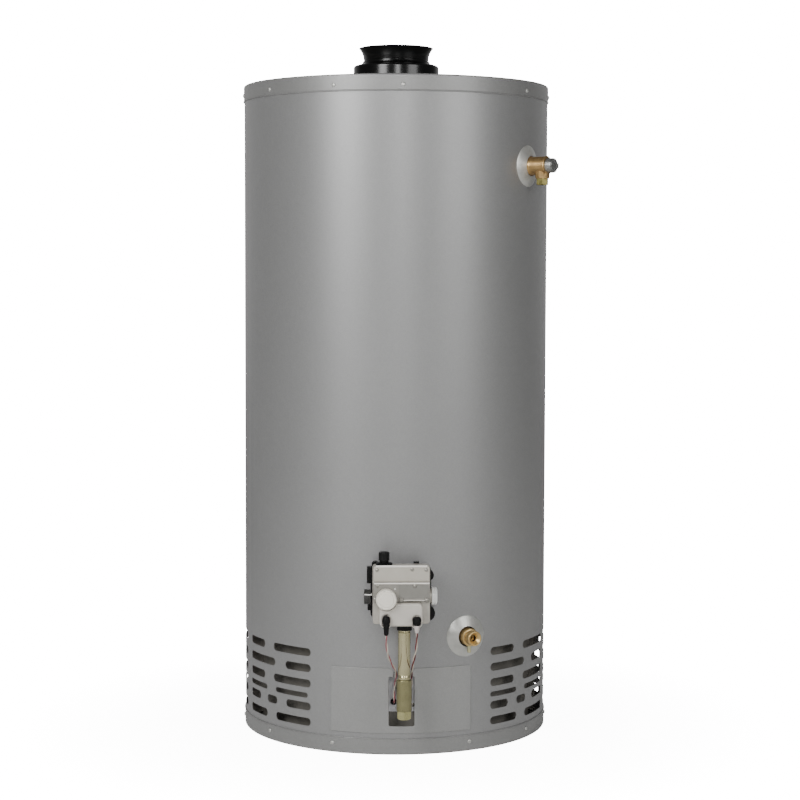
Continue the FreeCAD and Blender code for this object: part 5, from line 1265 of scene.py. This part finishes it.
# ------------------------------------------------------------------ gas feed
@dataclass
class GasFeed:
    """Nut, pipe, tee and plug in front of the jacket."""

    x: float = FEED_AT[0]
    y: float = FEED_AT[1]
    pipe: float = 10.65
    tee: float = 13.3

    def build(self) -> None:
        """Makes the feed's pieces from the top down."""
        low, high = (v.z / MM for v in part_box("outlet_nut"))
        nut = Form.rod(12.5 / math.cos(math.radians(30)), low, high, sides=6)
        crown = Form.lathe([(0.0, low - 1), (12.6, low - 1), (14.6, low + 1.2), (14.6, high + 1),
                            (0.0, high + 1)], 48)
        nut.combine("INTERSECT", [crown])
        nut.cut(Form.rod(self.pipe + 0.1, low - 2, high + 2))
        nut.soften(0.35, 1, 50.0)
        nut.shift(self.x, self.y).piece("feed_nut", "heater", BLACK_OXIDE, "outlet_nut_black",
                                        ["outlet_nut"])
        low, high = (v.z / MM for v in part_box("feed_pipe"))
        wall: list[Point] = [(8.0, low), (self.pipe, low), (self.pipe, 148.0)]
        wall += ridged(self.pipe, 0.35, 148.2, 152.0, 1.3) + [(self.pipe, 152.4),
                                                              (self.pipe, 226.0)]
        wall += ridged(self.pipe, 0.35, 226.2, 229.0, 1.3) + [(self.pipe, high), (8.0, high)]
        pipe = Form.lathe(wall, 72, closed=True).shift(self.x, self.y)
        pipe.piece("feed_pipe_drawn", "heater", PIPE_ZINC, "feed_pipe_zinc", ["feed_pipe"], 40.0)
        low, high = (v.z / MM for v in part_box("feed_tee"))
        sleeve: list[Point] = [(10.8, low), (self.tee - 0.7, low), (self.tee, low + 0.8),
                               (self.tee, high - 2.4), (self.tee - 0.5, high - 1.2),
                               (self.tee - 1.4, high - 0.2), (self.tee - 2.2, high), (10.8, high)]
        branch: list[Point] = [(10.8, 22.0), (12.2, 22.0), (12.8, 21.4), (12.8, 8.0), (10.8, 8.0)]
        side = Form.lathe(branch, 48,
                          closed=True).move(Matrix.Rotation(-math.pi / 2, 4, "X")).shift(z=115.0)
        tee = Form.lathe(sleeve, 72, closed=True).add(side).shift(self.x, self.y)
        tee.piece("feed_tee_forged", "heater", TEE_ZINC, "feed_fitting_zinc", ["feed_tee"], 40.0)
        low, high = (v.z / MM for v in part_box("tee_plug"))
        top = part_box("feed_tee")[0].z / MM
        plug = Form.rod(11.6 / math.cos(math.radians(30)), low, top, sides=6)
        cone = Form.lathe([(0.0, low - 0.1), (10.6, low - 0.1), (13.4, low + 2.6), (13.4, top + 1),
                           (0.0, top + 1)], 48)
        plug.combine("INTERSECT", [cone])
        plug.soften(0.3, 1, 50.0).add(Form.rod(self.pipe - 0.1, top - 0.5, high))
        plug.shift(self.x, self.y).piece("feed_plug", "heater", PLUG_ZINC, "tee_plug_zinc",
                                         ["tee_plug"])


# ------------------------------------------------------------------ leads
def curve_mesh(data: bpy.types.Curve) -> bpy.types.Mesh:
    """Turns a curve to a mesh and clears the curve away.

    Args:
        data: the curve, which is removed.

    Returns:
        The mesh.
    """
    holder = bpy.data.objects.new("curve", data)
    bpy.context.scene.collection.objects.link(holder)
    graph = bpy.context.evaluated_depsgraph_get()
    mesh = bpy.data.meshes.new_from_object(holder.evaluated_get(graph))
    bpy.data.objects.remove(holder)
    bpy.data.curves.remove(data)
    return mesh


@dataclass
class TwistedLead:
    """Two insulated wires twisted round one route, in millimetres."""

    name: str
    route: tuple[Place, ...]
    finishes: tuple[Finish, Finish]
    slot: str
    node: str
    strand: float = 1.12
    pitch: float = 55.0

    def centre_line(self) -> list[Vector]:
        """Points along the smooth route.

        Returns:
            Points a few millimetres apart.
        """
        data = bpy.data.curves.new("route", "CURVE")
        data.dimensions = "3D"
        data.resolution_u = 12
        spline = data.splines.new("NURBS")
        spline.points.add(len(self.route) - 1)
        for point, place in zip(spline.points, self.route):
            point.co = (*place, 1.0)
        spline.order_u = 3
        spline.use_endpoint_u = True
        mesh = curve_mesh(data)
        points = [v.co.copy() for v in mesh.vertices]
        bpy.data.meshes.remove(mesh)
        return points

    def build(self) -> None:
        """Makes the two strands as tubes that circle the route half a turn apart."""
        line = self.centre_line()
        run = [0.0]
        for a, b in zip(line, line[1:]):
            run.append(run[-1] + (b - a).length)
        for side, finish in enumerate(self.finishes):
            data = bpy.data.curves.new("strand", "CURVE")
            data.dimensions = "3D"
            data.bevel_depth = self.strand
            data.bevel_resolution = 3
            data.use_fill_caps = True
            spline = data.splines.new("POLY")
            spline.points.add(len(line) - 1)
            across = Vector((1, 0, 0))
            for i, place in enumerate(line):
                ahead = (line[min(i + 1, len(line) - 1)] - line[max(i - 1, 0)]).normalized()
                across = (across - ahead * across.dot(ahead)).normalized()
                turn = math.tau * run[i] / self.pitch + math.pi * side + 0.6
                offset = Matrix.Rotation(turn, 3, ahead) @ across * (self.strand * 0.92)
                spline.points[i].co = (*(place + offset), 1.0)
            mesh = curve_mesh(data)
            form = Form()
            form.bm.from_mesh(mesh)
            bpy.data.meshes.remove(mesh)
            form.tidy()
            replaced = [self.node] if side == 0 else []
            form.piece(f"{self.name}_wire_{side + 1}", "heater", finish,
                       self.slot if side == 0 else "", replaced, 60.0)


# ------------------------------------------------------------------ relief and drain valves
@dataclass
class TrimPlate:
    """Conical plate scribed to the jacket round a fitting."""

    name: str
    seat: Seat
    replaces: tuple[str, ...]
    outer: float = 36.6
    rise: float = 7.0
    hole: float = 18.2

    def build(self) -> None:
        """Spins the cone with a rolled rim, then presses its foot to the jacket's curve."""
        steps = 14
        run = self.outer - self.hole
        top: list[Point] = []
        for i in range(steps + 1):
            reach = self.outer - run * i / steps
            top.append((reach, self.rise * i / steps))
        rim: list[Point] = [(self.outer - 0.6, -0.9), (self.outer, -0.3)]
        under = [(x - 0.2, z - 1.1) for x, z in reversed(top)]
        edge = [(self.hole - 0.3, self.rise - 0.2), (self.hole - 0.4, self.rise - 0.9)]
        form = Form.lathe(rim + top[1:] + edge + under[1:-1], 96, closed=True)
        radius = self.seat.radius
        for vert in form.bm.verts:
            reach = math.hypot(vert.co.x, vert.co.y)
            share = max(0.0, min(1.0, (reach - self.hole) / run))
            fall = radius - math.sqrt(max(1.0, radius ** 2 - vert.co.x ** 2))
            vert.co.z += 0.5 - fall * share
        self.seat.put(form).piece(self.name, "heater", TRIM, "escutcheon_steel", self.replaces,
                                  45.0)


@dataclass
class ReliefValve:
    """Relief valve high on the right: body, end cap, lever and outlet bushing."""

    seat: Seat
    end: float = 40.0
    outlet: float = 29.3

    def build(self) -> None:
        """Makes the relief valve's pieces."""
        e = self.end
        body: list[Point] = [(12.0, -5.0), (17.0, -5.0), (17.3, 0.0), (17.3, 6.6), (17.0, 7.8),
                             (16.4, 8.6), (16.0, 9.6), (16.0, 11.0), (16.3, 12.0), (16.2, e - 5.0),
                             (16.3, e - 3.8), (17.0, e - 3.1), (17.2, e - 2.0), (17.0, e - 0.6),
                             (16.2, e), (12.2, e), (12.0, e - 4.0)]
        barrel = Form.lathe(body, 72, closed=True)
        drop: list[Point] = [(9.6, 9.0), (13.6, 10.0), (13.3, 14.4), (12.7, 17.5), (12.4, 21.6),
                             (11.9, 22.6), (11.0, 23.0), (9.6, 23.0)]
        side = Form.lathe(drop, 64, closed=True).move(facing(z=self.outlet))
        barrel.add(side)
        self.seat.put(barrel).piece("relief_body_cast", "heater", BRASS_CAST, "relief_brass",
                                    ["relief_valve_body"], 40.0)
        shank = Form.lathe([(6.6, -24.0)] + ridged(13.2, 0.8, -24.0, -5.0, 1.8) + [(6.6, -5.0)], 48,
                           closed=True)
        self.seat.put(shank).piece("relief_shank", "heater", BRASS_TURNED, "relief_brass", (), 50.0)
        probe = Form.lathe([(0.0, -115.5), (2.0, -115.0), (3.4, -113.6), (3.4, 13.0), (0.0, 13.0)],
                           24)
        self.seat.put(probe).piece("relief_probe", "heater", DIP_PLASTIC)
        self.cap_and_lever()
        self.bushing()

    def cap_and_lever(self) -> None:
        """Steel end cap with its ears, and the embossed round lever over it."""
        e = self.end
        cap: list[Point] = [(9.2, e - 0.1), (13.2, e - 0.1), (13.2, e + 10.6), (12.9, e + 11.5),
                            (12.0, 51.9), (2.8, 51.9), (2.8, e + 10.0), (9.2, e + 10.0)]
        cup = Form.lathe(cap, 64, closed=True)
        for side in (-1, 1):
            ear = Form.block((9.0, side * 6.4 - 1, 41.8), (15.4, side * 6.4 + 1, 46.6)).soften(0.3, 1)
            tip = crossways(Form.rod(2.4, side * 6.4 - 1, side * 6.4 + 1, sides=24))
            cup.add(ear, tip.shift(15.4, 0, 44.2))
        self.seat.put(cup).piece("relief_cap_pressed", "heater", CAP_STEEL, "relief_cap_steel",
                                 ["relief_end_cap"])
        low, high = 52.2, 53.5
        disc: list[Point] = [(0.0, low), (12.2, low), (12.6, low + 0.4), (12.6, high - 0.5),
                             (12.2, high - 0.1), (11.4, high), (10.6, high - 0.1),
                             (10.1, high - 0.5), (7.6, high - 0.5), (7.0, high - 0.2),
                             (4.2, high - 0.2), (3.4, high - 0.5), (0.0, high - 0.5)]
        lever = Form.lathe(disc, 64)
        boss = Form.lathe([(0.0, high - 0.6), (1.1, high - 0.6), (0.8, high - 0.1),
                           (0.0, high - 0.05)], 12)
        studs = Form()
        for i in range(9):
            studs.add(boss.copy().shift(8.5, 0).move(Matrix.Rotation(math.tau * i / 9, 4, "Z")))
        strap = Form.block((11.4, -4.6, low), (16.1, 4.6, high)).soften(0.3, 1)
        arm = Form.block((14.7, -4.6, 44.2), (16.1, 4.6, high)).soften(0.3, 1)
        eye = crossways(Form.rod(2.1, -5.0, 5.0, sides=24)).shift(15.4, 0, 44.2)
        pin = crossways(Form.rod(1.2, -8.0, 8.0, sides=16)).shift(15.4, 0, 44.2)
        lever.add(studs, strap, arm, eye, pin)
        self.seat.put(lever).piece("relief_test_lever", "test_lever", CAP_STEEL, "lever_steel",
                                   ["relief_lever"])

    def bushing(self) -> None:
        """Yellow hexagonal bushing in the outlet, open underneath."""
        low, high = 23.0, 34.0
        hexed = Form.rod(10.3 / math.cos(math.radians(30)), low, high, sides=6)
        crown = Form.lathe([(0.0, low - 1), (12.2, low - 1), (12.2, high - 1.4), (10.4, high + 0.1),
                            (0.0, high + 0.1)], 48)
        hexed.combine("INTERSECT", [crown])
        hexed.cut(Form.rod(7.6, low - 3, high + 2))
        hexed.soften(0.3, 1, 50.0)
        bore = Form.lathe([(9.4, 15.0),
                           (9.4, 23.4)] + list(reversed(ridged(8.2, 0.7, 15.0, 33.6, 1.8))), 40,
                           closed=True)
        hexed.add(bore)
        hexed.move(facing(z=self.outlet))
        self.seat.put(hexed).piece("relief_bushing", "heater", HEX_ZINC, "bushing_zinc",
                                   ["relief_outlet_bushing"], 40.0)


@dataclass
class DrainValve:
    """Drain valve low on the right: body with a hose outlet, and a slotted stem under it."""

    seat: Seat
    collar: float = 17.5
    end: float = 33.6

    def build(self) -> None:
        """Makes the drain valve's pieces."""
        c, e = self.collar, self.end
        wall: list[Point] = [(3.6, -24.0)] + ridged(13.2, 0.8, -24.0, -3.0, 1.8)
        wall += [(14.9, -2.6), (15.3, -1.6), (15.3, c - 1.4)]
        wall += [(14.9, c - 0.5), (14.0, c), (11.9, c + 0.4), (11.8, c + 2.4), (12.6, c + 3.0)]
        wall += ridged(13.2, 0.35, c + 3.2, e - 2.0, 2.2)
        wall += [(12.9, e - 0.9), (12.2, e - 0.2), (11.2, e), (10.7, e - 0.2), (9.4, e - 1.5),
                 (7.2, e - 3.8), (5.4, e - 6.2), (5.3, e - 7.0), (5.3, c + 0.2), (3.6, c)]
        body = Form.lathe(wall, 72, closed=True)
        boss = Form.lathe([(3.3, 8.0), (5.6, 8.0), (5.6, 14.8), (5.0, 15.5), (3.3, 15.5)], 32,
                          closed=True)
        boss.move(facing(z=12.5))
        # A thin dark liner inside the outlet's bore: painted shadow, so that the bore reads as a dark hole.
        liner = Form.lathe([(5.25, c + 4.0), (5.25, e - 6.9), (5.1, e - 6.9), (5.1, c + 4.0)], 40,
                           closed=True)
        self.seat.put(liner).piece("drain_bore_painted_shadow", "heater", BORE_PAINTED_SHADOW)
        self.seat.put(body.add(boss)).piece("drain_body_turned", "heater", BRASS_TURNED,
                                            "drain_brass", ["drain_valve_body"], 40.0)
        stem: list[Point] = [(0.0, -1.7), (3.2, -1.7)] + ridged(3.2, 0.35, -1.5, 15.0, 1.5)
        stem += [(3.2, 15.6), (3.2, 26.8), (2.6, 27.5), (0.0, 27.5)]
        rod = Form.lathe(stem, 32)
        rod.cut(Form.block((-5.0, -0.7, 25.1), (5.0, 0.7, 29.0)))
        rod.move(facing(z=12.5))
        self.seat.put(rod).piece("drain_screw_turned", "drain_screw", DRAIN_SCREW,
                                 "drain_stem_brass", ["drain_stem"], 40.0)


# ------------------------------------------------------------------ behind the door
@dataclass
class ChamberFront:
    """Inner door with pressed stiffening and its screws, seen through the slot, with holes left for the
    grommets.
    """

    radius: float = 255.3

    def build(self) -> None:
        """Makes the inner door's pieces."""
        low, high = (v.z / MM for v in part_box("inner_door"))
        half = math.radians(17.0) * self.radius
        plate = Form.block((-half, 0.0, low), (half, 1.2, high), 0.0)
        x_pipe = 2.0
        tools = [Form.rod(11.3, -9, 9, (x_pipe, 115.0)), Form.rod(3.7, -9, 9, (x_pipe, 134.0)),
                 Form.rod(8.0, -9, 9, (-42.2, 112.0)),
                 Form.rod(4.1, -9, 9, (-12.8, 89.6)), Form.rod(4.1, -9, 9, (9.0, 86.0))]
        for tool in tools:
            plate.cut(tool.move(facing()))
        bead = Form.block((-half + 5.0, -0.7, low + 4.0), (half - 5.0, 0.2, low + 6.6)).soften(0.6, 2)
        plate.add(bead, bead.copy().shift(z=high - low - 10.6))
        plate.slice_x(5.0).bend(self.radius).tidy()
        plate.piece("inner_door_pressed", "heater", PLATE_STEEL, "inner_door_steel", ["inner_door"])
        heads = Form()
        for x, z in ((-68.0, 140.0), (68.0, 140.0), (-68.0, 84.0), (68.0, 84.0), (20.6, 83.5)):
            azimuth = math.degrees(math.asin(x / self.radius))
            heads.add(Seat(self.radius, azimuth, z).put(cross_screw(3.6, 2.2)))
        heads.piece("inner_door_screw_heads", "heater", COVER_SCREW, "cover_screw_steel",
                    ["inner_door_screws"])


# ------------------------------------------------------------------ carried-over CAD nodes and studio
def dress_nodes() -> None:
    """Gives every CAD node that still shows its finish."""
    for row in frame["record"]["subparts"]:
        node = frame["nodes"][row["node"]]
        node.data.materials.clear()
        node.data.materials.append(SLOT_FINISH[row["material_slot"]].material())
        LOG.info("%s: %s", row["node"], node.data.materials[0].name)


@dataclass
class Studio:
    """Pale floor, soft lights and camera."""

    lens: float = 89.26
    shift: float = 0.00589
    azimuth: float = 2.5
    tilt: float = 3.789
    roll: float = 0.139
    distance: float = 3.6948
    eye: float = 0.8478
    backdrop: float = 18.0
    floor_near: float = 12.0
    front_fill: float = 0.11
    back_fill: float = 0.7

    def camera(self) -> None:
        """Puts the camera at its place, level with the upper body and turned a little to the right."""
        data = bpy.data.cameras.new("camera")
        data.lens, data.sensor_width, data.shift_x = self.lens, 36.0, self.shift
        made = bpy.data.objects.new("camera", data)
        turn = math.radians(self.azimuth)
        place = Matrix.Translation((-self.distance * math.sin(turn),
                                    -self.distance * math.cos(turn), self.eye))
        aim = Matrix.Rotation(-turn, 4, "Z") @ Matrix.Rotation(math.radians(90 - self.tilt), 4, "X")
        made.matrix_world = place @ aim @ Matrix.Rotation(math.radians(self.roll), 4, "Z")
        bpy.context.scene.collection.objects.link(made)
        bpy.context.scene.camera = made

    def light(self, name: str, azimuth: float, reach: float, height: float, size: Point,
              power: float) -> None:
        """Adds a rectangular soft light that faces the heater.

        Args:
            name: the light's name.
            azimuth: degrees from the front, positive to the right.
            reach: distance from the axis.
            height: above the floor.
            size: width and height.
            power: watts.
        """
        data = bpy.data.lights.new(name, "AREA")
        data.shape, data.size, data.size_y, data.energy = "RECTANGLE", size[0], size[1], power
        made = bpy.data.objects.new(name, data)
        turn = math.radians(azimuth)
        place = Vector((reach * math.sin(turn), -reach * math.cos(turn), height))
        made.location = place
        made.rotation_mode = "QUATERNION"
        made.rotation_quaternion = (Vector((0, 0, 0.62)) - place).to_track_quat("-Z", "Y")
        bpy.context.scene.collection.objects.link(made)

    def floor(self) -> None:
        """Lays a wide pale matte floor that runs out to white away from the heater."""
        form = Form()
        bmesh.ops.create_grid(form.bm, x_segments=1, y_segments=1, size=9000.0)
        mesh = form.move(Matrix.Scale(MM, 4)).mesh()
        paper = bpy.data.materials.new("matte_paper_floor")
        paper.use_nodes = True
        tree = paper.node_tree
        tree.nodes.clear()
        away = add_node(tree, "VectorMath", {0: add_node(tree, "TexCoord", {}).outputs["Object"]},
                        operation="LENGTH")
        rise = add_node(tree, "MapRange", {
            "Value": away.outputs["Value"], "From Min": 0.26, "From Max": 1.0,
            "To Min": self.floor_near,
            "To Max": self.backdrop,
        }, interpolation_type="SMOOTHSTEP")
        seen = add_node(tree, "LightPath", {})
        glow = add_node(tree, "Math", {0: rise.outputs["Result"], 1: seen.outputs["Is Camera Ray"]},
                        operation="MULTIPLY")
        shader = add_node(tree, "BsdfPrincipled", {
            "Base Color": linear("f4f4f3"), "Roughness": 0.85, "IOR": 1.4,
            "Emission Color": linear("ffffff"), "Emission Strength": glow.outputs["Value"],
        })
        add_node(tree, "OutputMaterial", {"Surface": shader.outputs["BSDF"]})
        mesh.materials.append(paper)
        made = bpy.data.objects.new("studio_floor", mesh)
        bpy.context.scene.collection.objects.link(made)

    def sky(self) -> None:
        """Pale surround: bright behind, soft on the heater."""
        world = bpy.data.worlds.new("studio")
        world.use_nodes = True
        tree = world.node_tree
        tree.nodes.clear()
        way = add_node(tree, "SeparateXYZ",
                       {0: add_node(tree, "TexCoord", {}).outputs["Generated"]})
        fill = add_node(tree, "MapRange", {
            "Value": way.outputs["Y"], "From Min": 0.5, "From Max": 1.0, "To Min": self.front_fill,
            "To Max": self.back_fill,
        })
        path = add_node(tree, "LightPath", {})
        level = add_node(tree, "Mix",
                         {0: path.outputs["Is Camera Ray"], 2: fill.outputs["Result"],
                          3: self.backdrop})
        back = add_node(tree, "Background",
                        {"Color": (1.0, 1.0, 1.0, 1.0), "Strength": level.outputs[0]})
        add_node(tree, "OutputWorld", {"Surface": back.outputs["Background"]})
        bpy.context.scene.world = world

    def build(self) -> None:
        """Sets the whole studio."""
        self.camera()
        self.floor()
        self.sky()
        self.light("key", -38.0, 3.4, 2.2, (1.3, 2.0), 98.0)
        self.light("front", 2.0, 4.4, 1.9, (0.8, 1.4), 39.0)
        self.light("side", 43.0, 4.2, 1.9, (1.9, 1.9), 54.0)


def main() -> None:
    """Builds the heater's looks, part by part."""
    logging.basicConfig(level=logging.INFO, format="%(name)s %(message)s")
    Studio().build()
    dress_nodes()
    Casing().build()
    VentMouth().build()
    TopFittings().build()
    GasControl().build()
    GasFeed().build()
    TrimPlate("relief_trim_plate", RELIEF_SEAT, ("escutcheons",)).build()
    TrimPlate("drain_trim_plate", DRAIN_SEAT, ()).build()
    ReliefValve(RELIEF_SEAT).build()
    DrainValve(DRAIN_SEAT).build()
    ChamberFront().build()
    left = ((-30.5, -369.0, 229.0), (-30.5, -369.0, 204.0), (-22.5, -349.0, 178.0),
            (-11.5, -325.0, 158.0), (-10.6, -303.0, 143.0), (-12.8, -279.0, 118.0),
            (-12.8, -277.0, 89.6), (-12.8, -244.0, 89.6), (-16.8, -228.0, 93.6),
            (-44.0, -200.0, 104.0), (-44.0, -109.0, 108.0), (-44.0, -109.0, 128.0))
    right = ((21.5, -369.0, 231.6), (21.5, -369.0, 206.0), (17.2, -349.0, 182.0),
             (15.5, -325.0, 158.0), (15.6, -303.0, 143.0), (17.0, -285.0, 122.0),
             (9.0, -278.0, 86.0), (9.0, -240.0, 86.0), (9.0, -190.0, 88.0), (-16.0, -150.0, 96.0),
             (-16.0, -109.0, 106.0), (-16.0, -109.0, 128.0))
    TwistedLead("left_lead", left, (WIRE_PINK, WIRE_WHITE), "left_lead_sleeve", "left_lead").build()
    TwistedLead("right_lead", right, (WIRE_RED, WIRE_WHITE), "right_lead_sleeve",
                "right_lead").build()


if __name__ == "__main__":
    main()
